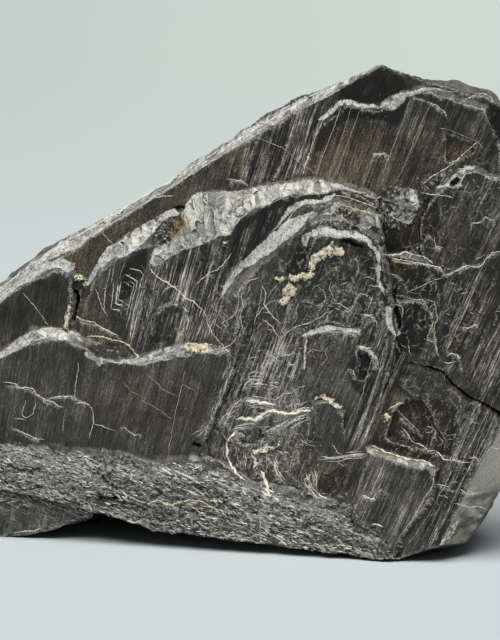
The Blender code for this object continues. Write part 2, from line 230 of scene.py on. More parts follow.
# Cracks filled with pale mineral: share of full strength, half width in mm, and the line of each
# The last ten lines run along the striae: painted highlights on them, not mineral
VEINS = rows("""
1 0.1 148,264 152,272 159,278 166,282 172,286 180,292 185,298 193,301 198,306 202,310
0.7 0.08 202,310 207,317 207,323 212,333 218,341 224,347 231,356 235,359
0.8 0.08 161,294 165,289 170,286 179,286
0.8 0.09 194,287 200,280 209,273 218,269 224,263 232,253
0.9 0.09 70,312 75,317 83,321 91,322 98,326 103,329 111,333 117,336
0.8 0.06 94,287 97,294 99,301 102,309 107,317
0.7 0.07 101,232 106,238 112,243
0.8 0.09 155,198 162,196 173,195
0.5 0.06 188,322 185,331 184,338
0.5 0.05 248,135 262,139 283,148 300,163 318,175
0.7 0.07 226,178 235,180 243,181 249,186
0.9 0.09 0,383 6,383 14,385 19,389 25,388 32,390 34,395 37,397 45,401 51,403 57,407 62,408
0.9 0.08 49,399 58,397 73,397
0.8 0.07 77,362 77,370 75,380 73,397 73,402
0.9 0.08 73,404 82,403 88,406 92,412 92,424 89,436 87,441
0.7 0.07 92,425 101,427 108,430 115,432
0.8 0.07 24,401 20,411 20,417 24,419 31,414 33,407 34,397
0.7 0.07 10,420 19,420 24,422
0.5 0.06 64,410 62,421 61,434
0.8 0.08 11,430 17,432 25,436 36,440 42,441
0.9 0.07 121,427 128,432 133,436 138,436
0.6 0.05 185,370 179,397 174,418 171,436 168,452
0.7 0.06 182,385 187,387 193,390
0.35 0.05 145,373 154,381 162,390 179,397
0.35 0.05 140,400 147,404 161,412 172,420
0.35 0.05 121,381 131,392 142,398
0.8 0.07 191,436 196,432 200,431 203,425
0.6 0.06 20,292 28,301 37,312 47,327
0.7 0.07 220,324 233,317 238,308 239,295 237,291
0.7 0.07 254,326 256,317 259,308 261,298 262,289
0.8 0.09 262,318 267,323 272,327 275,333 279,337
0.6 0.06 263,313 271,312 275,309
0.6 0.06 267,299 271,291 279,283
0.8 0.09 245,285 251,280 259,278
0.7 0.07 279,340 286,334 293,328 299,326 312,322 321,317 328,310
0.7 0.07 266,349 268,354 275,357 284,356 291,354
0.6 0.07 271,370 270,363 275,357
0.8 0.08 220,350 225,347 231,346 237,336
0.6 0.06 325,281 327,286
0.7 0.07 340,285 348,282
0.7 0.06 312,291 314,287 321,284
0.7 0.07 331,303 340,304 346,308 350,310
0.7 0.07 341,312 348,312 354,304 358,295 360,294 369,296
0.6 0.06 325,323 328,315 333,310
0.7 0.2 306,336 305,352 304,370
0.8 0.09 232,370 226,384 222,396 219,404 216,412
0.8 0.1 242,390 246,383 251,380 259,380 264,381
0.8 0.1 240,400 234,406 230,412 227,418 223,429
0.7 0.08 222,416 224,419 230,415 235,411 240,410
1 0.3 246,401 251,401 260,403 269,404 275,405
1 0.26 236,420 245,419 255,420 261,416 268,412 274,411 282,412 289,414 296,413 302,411 311,411
0.6 0.08 295,404 296,412
0.6 0.08 292,387 296,395 298,389
0.6 0.08 269,387 273,383 278,383
0.9 0.13 231,431 235,429 240,428 246,429 254,430
1 0.2 232,435 236,432 241,434 245,437
1 0.16 236,433 230,438 227,444 227,453 228,459 232,467 237,475 241,478 245,481
0.7 0.08 241,457 242,466
1 0.22 251,454 254,459 256,464 254,469
1 0.22 261,471 264,478 267,487 269,494 267,496 261,491
0.9 0.15 274,459 275,468 278,476 284,484
0.8 0.1 265,457 267,466
0.9 0.12 309,476 305,480 306,485 310,490 318,498 323,499
0.7 0.08 312,472 314,480 314,490
0.9 0.09 321,457 330,458 341,458 351,455 367,454
0.7 0.08 332,443 335,448 338,453 342,455
0.7 0.07 339,459 339,463 343,466 348,465
0.6 0.08 300,438 304,443 309,445 316,447
0.9 0.1 361,495 367,497 373,500 377,491
0.7 0.08 264,436 275,431 286,425 297,418 308,414
1 0.11 381,255 389,255 398,255 405,252 413,255 420,256 427,259 432,264
0.8 0.09 408,259 411,255 415,255
0.9 0.09 389,257 395,259 405,261 415,263 427,265 437,267 441,270 443,275
0.9 0.09 442,276 450,274 456,271 462,267 467,266 472,267 478,268 483,263 484,260 491,253 500,252 512,250
0.8 0.07 474,260 481,257 484,255
0.7 0.07 409,291 417,288 425,284 434,280 442,278
0.8 0.08 389,274 394,275 398,277
0.8 0.07 395,296 402,296 407,298 413,299 421,300 426,302
0.8 0.07 425,300 434,302 435,307 437,320 434,325 434,338 436,349 438,357
0.7 0.07 434,319 431,326 428,334 427,340 435,342
0.8 0.09 394,304 399,305 402,307 403,311 401,317
0.7 0.07 408,344 409,351 411,357
0.6 0.07 400,343 406,348
0.9 0.09 360,314 368,316 373,318 376,322 376,328
0.8 0.08 367,285 373,286 382,288
0.7 0.07 365,286 362,293
0.8 0.09 350,369 353,371 355,378
0.7 0.08 395,342 398,348 400,353
1 0.1 446,356 451,353 456,354 459,358 458,361
0.9 0.08 442,362 449,363 456,362
0.6 0.06 471,300 469,305 466,309
0.7 0.07 468,312 473,314
0.7 0.07 494,311 500,312
0.7 0.07 433,234 434,240 435,246 442,248 442,251
0.8 0.08 470,232 470,224 479,223 484,218 489,221 494,221
0.9 0.08 420,193 433,195 443,196 452,199
0.9 0.08 477,142 466,152 456,161 444,170 433,176 421,185
0.7 0.06 371,161 374,156 382,155 388,156 388,161
1 0.13 388,410 393,407 399,404 405,403
0.8 0.07 397,409 403,416 411,424 417,429 420,432
0.9 0.09 401,427 406,432 410,438 414,443 419,444 424,446 428,450 436,451 440,455 443,459 453,460 461,462
    469,462
0.9 0.09 468,458 473,457 477,459 481,464 484,455 490,447 500,449
0.7 0.07 436,409 432,415 427,421
0.9 0.09 435,485 443,485 449,487 450,489
0.8 0.08 459,489 465,492 470,494 480,492
0.8 0.08 439,495 444,496 449,498
0.9 0.09 454,503 461,505 468,507 478,506 487,509
0.8 0.07 385,460 377,479 372,491
0.7 0.07 435,471 433,480 431,488 424,498 413,518 404,531 401,536
0.9 0.12 122,495 131,499 139,503 147,505 153,503 159,502 165,506 171,506 179,504 190,501 203,503 210,508
    222,512 227,519
0.8 0.12 80,493 89,494 97,496
0.8 0.09 138,489 142,494 149,498
0.8 0.1 133,482 140,486 146,491
0.8 0.12 190,507 200,514 209,519 219,521
0.9 0.12 231,525 237,526 246,528
0.8 0.1 260,520 261,528 269,533
0.8 0.13 85,337 92,336 99,337 111,340 121,342 128,346 133,352 139,359
0.9 0.13 371,446 376,447 386,452 393,454 400,457 407,459 415,460 426,461 430,464 435,467
0.9 0.07 322,201 332,196 340,196 354,200 365,204 376,208
0.9 0.07 336,204 348,207 360,211 373,215 381,217
0.8 0.08 276,234 285,224 291,216 294,211 299,206 307,202 319,202 326,200
0.8 0.14 197,195 198,208 199,217
0.9 0.14 186,203 189,208 194,212 195,218 193,227
0.8 0.1 184,208 185,218 188,229
0.7 0.12 460,327 465,328 470,327 475,325
0.5 0.05 124,275 131,278 137,283
0.5 0.05 122,281 129,285 134,290
0.8 0.06 120,282 116,298 116,304 121,305 122,301
0.7 0.05 111,309 119,310 121,318
0.5 0.05 360,110 350,136 342,159 336,177
0.5 0.05 351,108 343,134 337,152 328,177
0.6 0.06 320,120 313,142 306,162 300,176
0.5 0.06 410,98 399,131 389,157 382,175
0.5 0.05 429,107 415,136 406,161 396,182
0.5 0.06 384,346 377,380 366,415 358,440
0.4 0.05 396,350 388,386 377,420
0.5 0.06 372,356 365,385 356,415
0.4 0.05 492,400 480,436 468,470
0.4 0.06 478,398 466,432 452,470
""")

# Open cracks that stay black: depth in mm, half width in mm, and the line of each
CRACKS = rows("""
0.9 0.2 403,370 411,364 425,368 440,372 450,384 470,399 490,409 508,419
0.7 0.16 192,443 200,447
1 0.24 95,500 106,499 117,502
0.6 0.14 340,241 350,244 362,248
0.6 0.16 172,208 179,205 186,207
""")

# Growth steps round a small hillock, and other fine raised edges: tone, half width in points, and line
GROWTH = rows("""
0.85 0.4 129,268 140,271 143,275 140,282 138,292 134,308 131,324 129,340
0.8 0.36 124,274 130,277 137,281 135,290 132,299 129,315 125,329
0.75 0.34 129,281 134,284 132,290 129,303 125,317
0.8 0.36 121,281 119,290 117,299 122,301 124,303
1 0.6 118,284 116,292 115,303 118,305 121,304 121,308
0.75 0.38 113,282 112,293 110,308 112,309
0.9 0.7 111,309 116,310 119,311
0.8 0.42 106,284 104,293 103,305 104,310
0.4 0.26 141,265 144,270
0.6 0.34 110,267 108,275 106,284
0.4 0.26 125,260 120,273 119,281
0.45 0.3 115,260 112,273 110,284
0.35 0.24 138,292 135,303 132,317
0 0.7 149,328 150,322 153,315 159,308 165,304 172,302 181,303
0.8 0.45 182,306 185,310 189,312
0.95 0.7 188,315 188,324 186,330
0.05 0.4 155,315 153,326 151,338
0.35 0.4 374,155 371,163 369,172
0.5 0.4 372,156 378,154 386,155
0.05 0.34 437,129 448,131 462,137 477,143 482,151
0.9 0.8 456,190 459,184 462,178 465,173
0.6 0.45 332,106 322,122 312,146 302,176
0.45 0.35 341,108 333,130 322,158 316,176
0.4 0.4 452,470 444,486 434,505 420,528 408,545
0.45 0.35 428,88 440,91 446,93 455,93
0.5 0.4 463,101 472,97 482,94 490,99 493,106
0.9 0.45 -20,300 30,263 80,232 140,197 200,161 260,125 320,91
0.1 0.5 -20,306 30,268 80,237 140,202 200,166 260,130
0.6 0.35 60,253 110,223 170,187 230,150
0.75 0.9 273,537 278,539 282,543 287,546
0.7 0.8 316,524 320,525 325,527
0.7 0.8 372,524 378,525 383,527
0.6 0.7 318,551 324,553 329,556
0.6 0.9 161,469 165,471 168,474 172,476
0.6 1 175,472 181,474 188,478 194,481 200,485
0.4 0.8 433,426 436,431 434,436 437,441
0.35 0.8 439,436 442,441 441,447
0.5 0.4 256,318 262,309 270,302 277,300
0.55 0.45 243,330 240,318 243,306 241,296 246,290
0.6 0.5 262,285 266,294 264,304 269,312 275,319 281,324
0.45 0.4 300,301 296,310 297,318 292,326
0.4 0.4 318,286 324,292 326,299 321,305 315,306
0.4 0.4 331,281 329,289 333,296 331,303
0.5 0.4 352,256 357,262 358,270 355,277
0.45 0.4 369,268 378,269 385,272
0.45 0.4 362,278 369,277 374,281
0.35 0.4 305,355 313,349 320,351 326,344
0.35 0.35 322,365 327,358 325,351 330,345
0.55 0.45 276,400 284,394 292,393 298,388 306,386
0.45 0.4 285,408 294,404 301,405 308,401
0.5 0.4 247,375 254,372 262,374 268,371
0.45 0.4 242,390 249,386 257,387
0.7 0.6 10,536 20,534 30,534 39,531
0.7 0.45 305,470 308,480 314,490 322,497 330,500
0.6 0.4 425,429 428,426 432,428 431,433 426,432 425,429
0.4 0.4 427,104 436,107 443,113 446,121
""")

# Broken ledges, whitish and rough: pale broken rock, and painted light where they face up
FRACTURED = shapes("""
-72,344 -40,318 0,284 20,268 45,250 60,240 90,220 120,203 150,186 180,170 210,150 240,131 270,113 300,98
    330,80 352,68 384,60 384,65 360,78 340,90 320,101 300,109 270,126 240,145 210,163 190,175 160,195
    140,205 120,218 100,230 80,245 60,253 40,262 20,276 0,294 -40,330 -72,356
186,203 190,196 200,192 222,190 245,191 258,187 280,184 300,181 322,179 330,183 334,190 326,194 298,195
    284,197 270,204 262,208 255,206 248,213 240,219 235,226 230,235 222,236 212,239 200,245 190,248 180,250
    170,256 160,264 152,266 149,262 151,251 158,247 165,244 171,240 178,232 184,224 182,214
112,258 114,243 126,234 140,226 152,219 165,211 160,221 152,232 145,240 135,249 125,256
-72,372 -30,360 0,351 15,338 30,330 45,327 60,328 72,331 80,334 84,342 72,340 60,339 45,338 30,341 15,349
    4,356 -30,368 -72,382
138,359 150,354 165,349 180,345 195,344 210,346 222,347 227,350 214,352 198,353 186,357 172,359 160,361
    150,364 138,366 122,364 108,362 98,367 94,361 86,357 83,353 88,352 97,357 110,360 124,361
357,214 366,213 378,217 380,228 372,226 366,230 360,226 363,220
390,196 400,192 408,189 416,192 418,205 416,215 408,224 398,221 390,214 396,208
302,236 312,232 308,240 306,247 301,242
368,446 378,450 390,454 405,459 420,460 430,463 435,470 433,474 427,469 420,470 412,466 400,462 388,459
    376,456 368,452
387,100 394,96 402,95 406,97 400,106 396,110 391,112 386,109 381,110 380,106
""")

# Smooth ledges that face up, painted pale blue-grey as the sheen of the light from above
SMOOTH_LEDGES = shapes("""
84,288 81,284 86,281 92,270 98,258 105,248 114,243 112,258 105,265 98,272 92,280
-72,346 -30,318 0,292 20,273 40,262 58,258 74,261 73,268 66,272 58,267 48,268 35,275 15,287 0,300 -30,324
    -72,352
152,220 165,210 173,208 181,211 178,215 165,217 158,222
330,182 345,187 360,192 377,199 362,195 343,189 334,190
222,288 232,272 244,260 256,248 268,237 280,226 290,219 304,214 319,210 318,214 308,221 300,229 290,238
    280,245 268,253 258,260 246,268 236,276 228,288 222,300
270,233 278,222 287,210 297,203 306,200 320,200 330,196 337,195 330,201 318,204 306,204 297,208 288,215
    278,226
322,213 330,208 335,203 339,204 335,211 331,215 324,214
311,236 313,229 319,226 327,226 336,229 345,231 355,232 363,235 370,240 374,248 379,254 380,264 376,260
    372,250 366,243 360,240 350,238 340,239 330,237 320,236
376,262 380,266 379,280 384,288 386,296 382,292 376,284 374,272
386,306 390,308 395,313 397,322 399,333 394,335 388,328 384,318 384,308
300,337 308,330 318,325 328,322 337,324 346,326 356,329 360,331 359,335 350,332 340,330 330,330 318,331
    306,335
357,345 362,344 368,347 374,353 378,362 380,372 377,366 373,358 368,351 361,348
318,120 326,114 334,108 341,101 348,100 360,104 374,106 382,106 380,110 374,108 360,108 350,105 344,104
    338,108 330,116 322,121
399,98 406,92 414,89 424,87 434,89 441,92 434,91 424,91 414,93 406,97
434,190 442,183 450,177 458,172 468,168 476,168 466,172 458,176 450,181 441,188
441,188 444,181 452,184 463,186 456,189 446,188
""")

# Faces painted almost black: painted shade in recesses, beside ledges and at the lower edge, and dark faces
DARK = shapes("""
122,271 131,266 141,272 143,276 137,281 132,283 126,289 122,303 118,301 119,285
341,93 352,85 372,73 384,66 394,73 402,80 405,90 395,94 385,102 372,104 355,101 345,98
322,123 332,115 340,107 350,107 362,109 374,110 384,112 392,114 399,110 405,102 402,118 396,128 384,122
    370,117 348,118 334,128 322,150 314,150
240,220 262,210 285,198 297,196 288,212 270,232 250,252 236,266 228,268 234,245
285,198 300,196 327,195 338,190 346,191 376,200 378,212 366,206 352,202 340,197 330,196 305,200
340,206 352,209 360,212 354,215 346,213 340,214 334,212
340,241 352,240 360,242 368,246 374,254 378,266 376,278 366,278 360,262 356,250 350,247 340,249
299,246 307,246 312,253 310,266 306,273 290,274 284,272 292,260
444,187 450,180 457,176 458,181 454,186 449,188
380,217 395,223 418,216 420,200 434,196 440,215 428,236 424,252 402,251 382,252
381,258 398,262 396,275 401,282 398,298 389,300 385,286 380,272
400,265 420,267 440,273 441,279 437,297 428,298 412,296
399,301 424,304 432,306 434,314 428,334 420,352 404,352 400,334
389,300 396,306 401,310 400,326 396,324 394,312 388,306
352,352 366,351 373,358 376,372 370,380 362,396 353,388 348,368
382,418 394,411 402,406 420,398 440,400 454,410 452,430 446,452 436,456 428,461 400,454 384,450 372,442
    378,430
456,424 460,426 449,452 441,455 446,438
318,484 326,474 342,468 348,472 343,488 335,498 324,494
153,232 158,222 165,217 178,215 182,220 177,230 172,240 166,248 156,246 150,244
86,346 96,343 110,344 122,348 130,356 124,359 106,358 94,355
122,262 134,256 146,246 146,262 138,278 126,300 118,298
152,320 158,310 170,304 182,305 176,325 168,340 150,344
478,60 494,62 512,70 512,130 492,140 488,110
320,540 340,544 370,546 400,552 398,566 340,562 300,552
""")

# Grooves between growth steps, painted blackest as painted shade
GROOVE_SHADE = shapes("""
104,312 108,280 118,266 130,262 143,274 140,290 133,318 126,345 114,345 108,322
""")

# Faces under a brown weathered film
BROWN = shapes("""
338,190 352,193 366,197 377,200 376,207 365,204 354,200 340,195
340,198 354,202 365,206 376,209 379,215 373,213 360,209 348,205 338,202
287,222 294,212 300,206 308,204 318,204 323,206 312,211 300,218
335,210 344,207 356,211 358,214 350,220 340,218
341,230 348,223 359,215 361,220 355,230 348,234
82,342 92,342 105,344 119,346 126,351 129,357 117,358 102,356 94,355 88,351
436,130 450,134 463,140 474,146 474,156 462,160 448,168 434,174 432,150
62,255 90,243 120,222 150,203 158,203 140,222 112,240 98,254 84,280 76,268
325,130 345,118 372,118 380,130 370,178 340,184 306,176
154,236 160,224 166,219 176,217 180,222 176,232 170,244 160,244
312,478 318,470 330,466 344,466 350,470 346,484 340,496 334,499 322,495 314,488
384,392 398,388 412,396 428,392 446,398 452,416 448,438 438,452 420,450 398,444 376,440 380,412
400,205 418,200 430,204 434,236 424,250 404,248 396,226
""")

# Faces whose striae are painted bright, as highlights where they catch the light, and faces whose striae show
# less
STREAKED = shapes("""
150,266 180,252 215,240 232,240 232,268 222,300 214,338 180,344 140,352 128,344 136,300
226,180 240,150 262,134 300,112 324,104 334,112 322,122 312,145 302,177 270,182 240,188
376,350 398,336 404,352 396,390 382,416 368,444 352,450 346,430 358,400
456,405 480,400 505,412 492,446 470,476 460,500 440,545 420,550 434,500 450,455
240,330 262,320 300,335 300,378 270,384 240,396 222,404 232,360
232,240 256,218 285,205 276,222 244,258 222,284 212,280
468,340 500,320 510,400 480,395 470,370
440,280 462,272 500,270 500,330 470,350 440,350
340,340 362,300 384,300 396,340 380,356 362,344
""")
FAINTLY_STREAKED = shapes("""
322,104 345,96 400,96 440,92 485,110 504,150 504,200 460,170 430,185 400,190 340,190 305,176
368,452 430,466 445,490 420,540 392,552 360,520 330,505 345,470
384,220 434,196 470,176 504,180 504,275 440,280 400,262
-70,506 30,500 80,520 40,548 -70,548
""")

# Cream crust that fills hollows on the face
CRUST = shapes("""
312,256 318,250 325,245 333,243 336,247 344,249 346,253 340,257 334,256 328,257 320,261 315,266 313,271
    318,275 314,278 308,280 306,275 308,266 310,260
286,279 290,274 298,272 305,272 306,277 300,279 292,282 287,283
274,279 280,276 284,279 279,282
282,288 288,285 295,286 297,293 293,299 287,303 282,309 278,305 277,299 283,297 281,292
252,452 258,449 266,447 269,444 274,446 279,441 280,443 274,450 264,453 256,455
313,401 318,396 324,395 331,397 337,401 343,407 338,408 330,402 322,399 316,401
72,278 76,274 84,274 86,280 79,282 73,281
61,329 64,314 68,300 71,303 70,318 68,329
383,418 386,411 389,414 392,419
381,421 385,420 388,424
441,543 447,536 452,528 459,518 456,529 450,538 445,544
184,347 192,344 204,344 214,347 204,351 192,352
306,480 308,476 312,472 309,480 308,486
356,346 361,344 368,347 371,350 364,348
222,242 227,243 226,249 222,247
236,209 244,208 246,213 238,214
""")

# The top of the sheared band, and the ridge where the smooth lower right facet begins
BAND_TOP = shapes("""
-70,448 0,448 50,449 90,452 150,463 190,460 220,466 250,484 300,495 330,506 360,520 384,540 400,560
""")[0]
FACET_RIDGE = shapes("""
512,405 489,447 470,480 458,510 440,546
""")[0]

# Larger pale crumbs
SPECKS = shapes("""
486,122 404,366 437,370 437,504 433,510 430,515 314,166 171,217 241,207 223,246 300,98 446,404 366,454
    198,349 96,232
""")[0]

# Soft oval patches: across, down, half length, half width in points, turn in degrees, strength.
# Brown tint and ochre stain
PATINA = (
    (350, 165, 50, 26, -30, 1), (330, 135, 26, 18, -60, 0.8), (415, 155, 22, 34, 20, 0.6),
    (455, 150, 24, 16, -20, 1), (370, 175, 40, 12, 10, 1), (440, 230, 34, 26, 0, 0.4),
    (420, 186, 24, 6, -10, 1), (110, 350, 22, 7, 8, 1), (150, 215, 60, 10, -32, 0.8),
    (90, 250, 24, 9, -30, 0.6), (240, 165, 34, 16, -10, 0.7), (325, 485, 16, 14, 0, 1),
    (395, 430, 22, 18, 0, 0.8), (350, 205, 26, 10, 14, 0.9), (388, 275, 8, 18, 0, 0.9),
    (480, 330, 26, 40, 0, 0.35), (150, 400, 60, 28, 0, 0.45), (350, 222, 12, 10, -40, 1),
    (440, 270, 10, 12, 0, 0.6), (90, 310, 18, 24, 0, 0.5), (325, 355, 24, 20, 0, 0.45),
    (300, 460, 20, 12, 0, 0.5),
)
OCHRE = (
    (176, 230, 4, 16, 15, 1), (184, 220, 3, 12, 0, 0.8), (69, 312, 3, 16, 12, 0.9), (78, 274, 6, 3, 0, 0.6),
    (383, 418, 3, 5, 0, 1), (110, 341, 26, 2, 10, 0.9), (400, 456, 32, 2, 12, 1), (180, 504, 46, 3, 4, 0.7),
    (96, 496, 14, 4, 8, 0.5), (210, 345, 22, 3, 0, 0.4), (77, 416, 4, 5, 0, 0.8), (72, 436, 6, 2, 0, 0.7),
    (12, 480, 14, 4, 20, 0.4), (336, 526, 10, 4, 10, 0.6), (284, 546, 14, 5, 10, 0.5),
    (430, 512, 2, 14, 30, 0.9), (395, 270, 10, 12, 0, 0.35), (455, 338, 5, 10, 15, 0.4),
)

# Paler, evener faces, and faces darkened as painted half shade
PALE = (
    (396, 500, 34, 40, 0, 0.7), (412, 424, 34, 26, 0, 1), (418, 132, 20, 22, 0, 0.7),
    (300, 360, 40, 30, 0, 0.4), (268, 400, 40, 60, 0, 1), (356, 168, 44, 24, 0, 1.2),
    (110, 330, 40, 20, 0, 0.4), (468, 470, 30, 40, 0, 0.3), (170, 315, 56, 46, 0, 0.9),
    (410, 320, 20, 30, 0, 0.3), (450, 300, 40, 30, 0, 0.2), (230, 190, 60, 20, -20, 0.2),
)
SHADED = (
    (30, 297, 44, 32, 0, 1.2), (400, 138, 96, 50, 0, 1.7), (318, 292, 50, 42, 0, 0.7),
    (60, 470, 84, 26, 0, 0.7), (440, 300, 60, 90, 0, 1.4), (456, 440, 44, 60, 0, 0.9),
    (395, 300, 14, 60, 0, 0.8), (406, 205, 14, 18, 0, 0.8), (478, 450, 24, 60, 0, 0.5),
)

# Where the face flakes off in small curved steps (first its middle), and where it is crumbly
FLAKY = (
    (265, 430, 50, 70, 0, 1), (325, 300, 56, 50, 10, 1), (430, 300, 50, 70, 0, 0.5),
    (440, 430, 50, 60, 0, 0.5), (235, 312, 26, 34, 0, 1), (300, 340, 30, 50, 0, 0.5),
    (350, 220, 40, 24, 0, 0.6), (130, 300, 40, 30, 0, 0.3), (460, 190, 40, 50, 0, 0.4),
)
CRUMBLY = (
    (396, 207, 22, 18, 0, 1), (346, 222, 20, 12, 0, 0.6), (430, 436, 10, 8, 0, 0.3),
    (440, 181, 24, 7, -20, 0.4), (166, 232, 10, 16, 20, 0.6),
)

# The foot at the lower left, which is less sheared than the rest of the band
FOOT = (
    (20, 524, 56, 18, -6, 1),
)

# Where a hollow is shallower than the solid's, and the depth that it keeps
FILLED = (
    (328, 484, 22, 20, 0, 1), (452, 183, 9, 7, -20, 1), (362, 368, 9, 18, 0, 0.75),
    (398, 316, 7, 16, 0, 0.5),
)
FILLED_DEPTH = 0.1 * MM

# Each kind of node in the materials: Blender's name, settings, the inputs in the order given, the output
KINDS = {
    "place": ("ShaderNodeTexCoord", {}, (), "Object"),
    "painted": ("ShaderNodeAttribute", {}, (), "Fac"),
    "axes": ("ShaderNodeMapping", {"vector_type": "TEXTURE"}, ("Vector", "Rotation", "Scale"), 0),
    "scaled": ("ShaderNodeMapping", {}, ("Vector", "Scale"), 0),
    "turned": ("ShaderNodeVectorRotate", {"rotation_type": "Y_AXIS"}, ("Vector", "Angle"), 0),
    "parted": ("ShaderNodeSeparateXYZ", {}, ("Vector",), "Y"),
    "joined": ("ShaderNodeCombineXYZ", {}, ("X", "Y", "Z"), 0),
    "moved": ("ShaderNodeVectorMath", {"operation": "ADD"}, (0, 1), 0),
    "noise": ("ShaderNodeTexNoise", {}, ("Vector", "Scale", "Detail", "Roughness", "Distortion"), 0),
    "cells": ("ShaderNodeTexVoronoi", {"feature": "DISTANCE_TO_EDGE"}, ("Vector", "Scale"), 0),
    "ramp": ("ShaderNodeMapRange", {"interpolation_type": "SMOOTHSTEP"},
             ("Value", "From Min", "From Max", "To Min", "To Max"), 0),
    "stops": ("ShaderNodeValToRGB", {}, ("Fac",), 0),
    "mix": ("ShaderNodeMix", {"data_type": "RGBA"}, ("Factor", "A", "B"), 2),
    "blend": ("ShaderNodeMix", {"data_type": "FLOAT"}, ("Factor", "A", "B"), 0),
    "plus": ("ShaderNodeMath", {"operation": "ADD"}, (0, 1), 0),
    "times": ("ShaderNodeMath", {"operation": "MULTIPLY"}, (0, 1), 0),
    "less": ("ShaderNodeMath", {"operation": "SUBTRACT"}, (0, 1), 0),
    "most": ("ShaderNodeMath", {"operation": "MAXIMUM"}, (0, 1), 0),
    "bump": ("ShaderNodeBump", {}, ("Height", "Distance", "Strength"), 0),
    "surface": ("ShaderNodeBsdfPrincipled", {}, ("Base Color", "Roughness", "Normal", "IOR"), 0),
    "output": ("ShaderNodeOutputMaterial", {}, ("Surface",), None),
}

# What roughen stores on the crystal's vertices for its material
PAINTED = (
    "wall", "band", "facet", "hidden", "under", "rim", "cavity", "fractured", "ledge", "dark", "brown",
    "crust", "patina", "ochre", "pale", "flaky", "striae", "plate_tone", "plate_edge", "across_striae",
    "along_striae",
)

# Noise in the crystal's material: axes, size of a grain along them in mm, detail, roughness, distortion.
# Striae are hair-fine grooves 0.15 to 1.5 mm apart that run many millimetres along the crystal. Hackles
# feather each small plate of a fracture in its own direction. What follows the shear lies in thin leaves.
PATTERNS = {
    "fine": ("face", (0.15, 1.5, 5.0), 1.0, 0.5, 0.0),
    "middle": ("face", (0.30, 3.0, 12.0), 1.0, 0.5, 0.0),
    "broad": ("face", (1.3, 5.0, 20.0), 2.0, 0.5, 0.0),
    "dashes": ("face", (0.17, 1.0, 1.2), 2.0, 0.6, 0.0),
    "patches": ("mm", (4.0, 4.0, 4.0), 4.0, 0.6, 0.0),
    "speckle": ("mm", (0.17, 0.17, 0.17), 2.0, 0.7, 0.0),
    "crumbs": ("mm", (0.65, 0.65, 0.65), 5.0, 0.7, 0.0),
    "spots": ("mm", (1.1, 1.1, 1.1), 2.0, 0.6, 0.0),
    "splinter": ("mm", (0.5, 1.2, 2.6), 4.0, 0.65, 0.3),
    "hackle": ("plates", (0.19, 0.9, 1.9), 3.0, 0.6, 0.0),
    "leaves": ("shear", (3.0, 1.6, 0.60), 4.0, 0.7, 1.0),
    "flecks": ("shear", (1.2, 0.6, 0.25), 2.0, 0.6, 0.8),
    "streams": ("shear", (8.0, 4.0, 2.4), 3.0, 0.6, 0.8),
    "layers": ("shear", (10.0, 4.0, 0.34), 2.0, 0.6, 0.4),
    "gaps": ("shear", (3.0, 1.5, 0.7), 3.0, 0.6, 0.0),
}

# Colours of the grown faces, from the blackest groove to the brightest stria, painted as its highlight
STREAK_COLOURS = (
    (0.12, "#0d0c0a"), (0.34, "#26241f"), (0.52, "#49453d"), (0.70, "#837e74"), (0.95, "#e2dccf"),
)


def linear(code):
    """An sRGB hex colour as linear red, green and blue."""
    values = [int(code[i:i + 2], 16) / 255 for i in (1, 3, 5)]
    return tuple(v / 12.92 if v <= 0.04045 else ((v + 0.055) / 1.055) ** 2.4 for v in values)


def smooth(low, high, value):
    """0 below low, 1 above high, and a soft rise between them."""
    share = np.clip((value - low) / (high - low), 0, 1)
    return share * share * (3 - 2 * share)


def lattice_noise(places, seed):
    """Smooth noise from -1 to 1 at each place, one cell to a unit."""
    cell = np.floor(places).astype(np.int64)
    part = places - cell
    part = part * part * part * (part * (part * 6 - 15) + 10)
    total = np.zeros(len(places))
    for corner in itertools.product((0, 1), repeat=3):
        key = (cell + np.array(corner)) @ LATTICE_STEPS + seed * 7919
        key = (key ^ (key >> 15)) * 2246822519 & 0xFFFFFFFF
        key = (key ^ (key >> 13)) * 3266489917 & 0xFFFFFFFF
        key = key ^ (key >> 16)
        weight = np.prod(np.where(np.array(corner) == 1, part, 1 - part), axis=1)
        total += (key / 0x7FFFFFFF - 1) * weight
    return total


def fractal(places, octaves, seed, gain=0.5):
    """Noise in several octaves, each half as large as the one before and weaker by the gain."""
    total = np.zeros(len(places))
    share = 1.0
    for octave in range(octaves):
        total += share * lattice_noise(places * 2 ** octave + 17.3 * octave, seed + octave)
        share *= gain
    return total


def noise(places, name, shift=0.0):
    """One of the named noises at places in mm, moved by a shift in grains."""
    size, octaves, seed, gain = NOISE[name]
    return fractal(places / np.array(size) + shift, octaves, seed, gain)


def on_drawing(places):
    """Where each place lies on the drawing of the face, in points, and how far behind the face."""
    across = (places[:, 0] - LOW.x) / POINT + LEFT_END_POINT
    depth = places[:, 1] - FACE_DATUM
    rise = places[:, 2] * math.cos(VIEW_ELEVATION) + depth * math.sin(VIEW_ELEVATION)
    down = FLOOR_POINT - rise / POINT
    turn_depth = (TOE_POINT - across) * POINT * math.tan(FACE_TURN)
    return across, down, depth - turn_depth


def from_line(across, down, line):
    """Signed distance to a line in points, above 0 on its lower side, and the share of the way along it."""
    best = np.full(len(across), 1e9)
    signed = np.full(len(across), 1e9)
    along = np.zeros(len(across))
    lengths = [math.dist(a, b) for a, b in zip(line, line[1:])]
    covered = 0.0
    for (start, end), length in zip(zip(line, line[1:]), lengths):
        step_x = (end[0] - start[0]) / length
        step_y = (end[1] - start[1]) / length
        off_x = across - start[0]
        off_y = down - start[1]
        run = np.clip(off_x * step_x + off_y * step_y, 0, length)
        gap = np.hypot(off_x - run * step_x, off_y - run * step_y)
        side = np.where(step_x * off_y - step_y * off_x >= 0, 1.0, -1.0)
        nearer = gap < best
        best = np.where(nearer, gap, best)
        signed = np.where(nearer, gap * side, signed)
        along = np.where(nearer, (covered + run) / sum(lengths), along)
        covered += length
    return signed, along


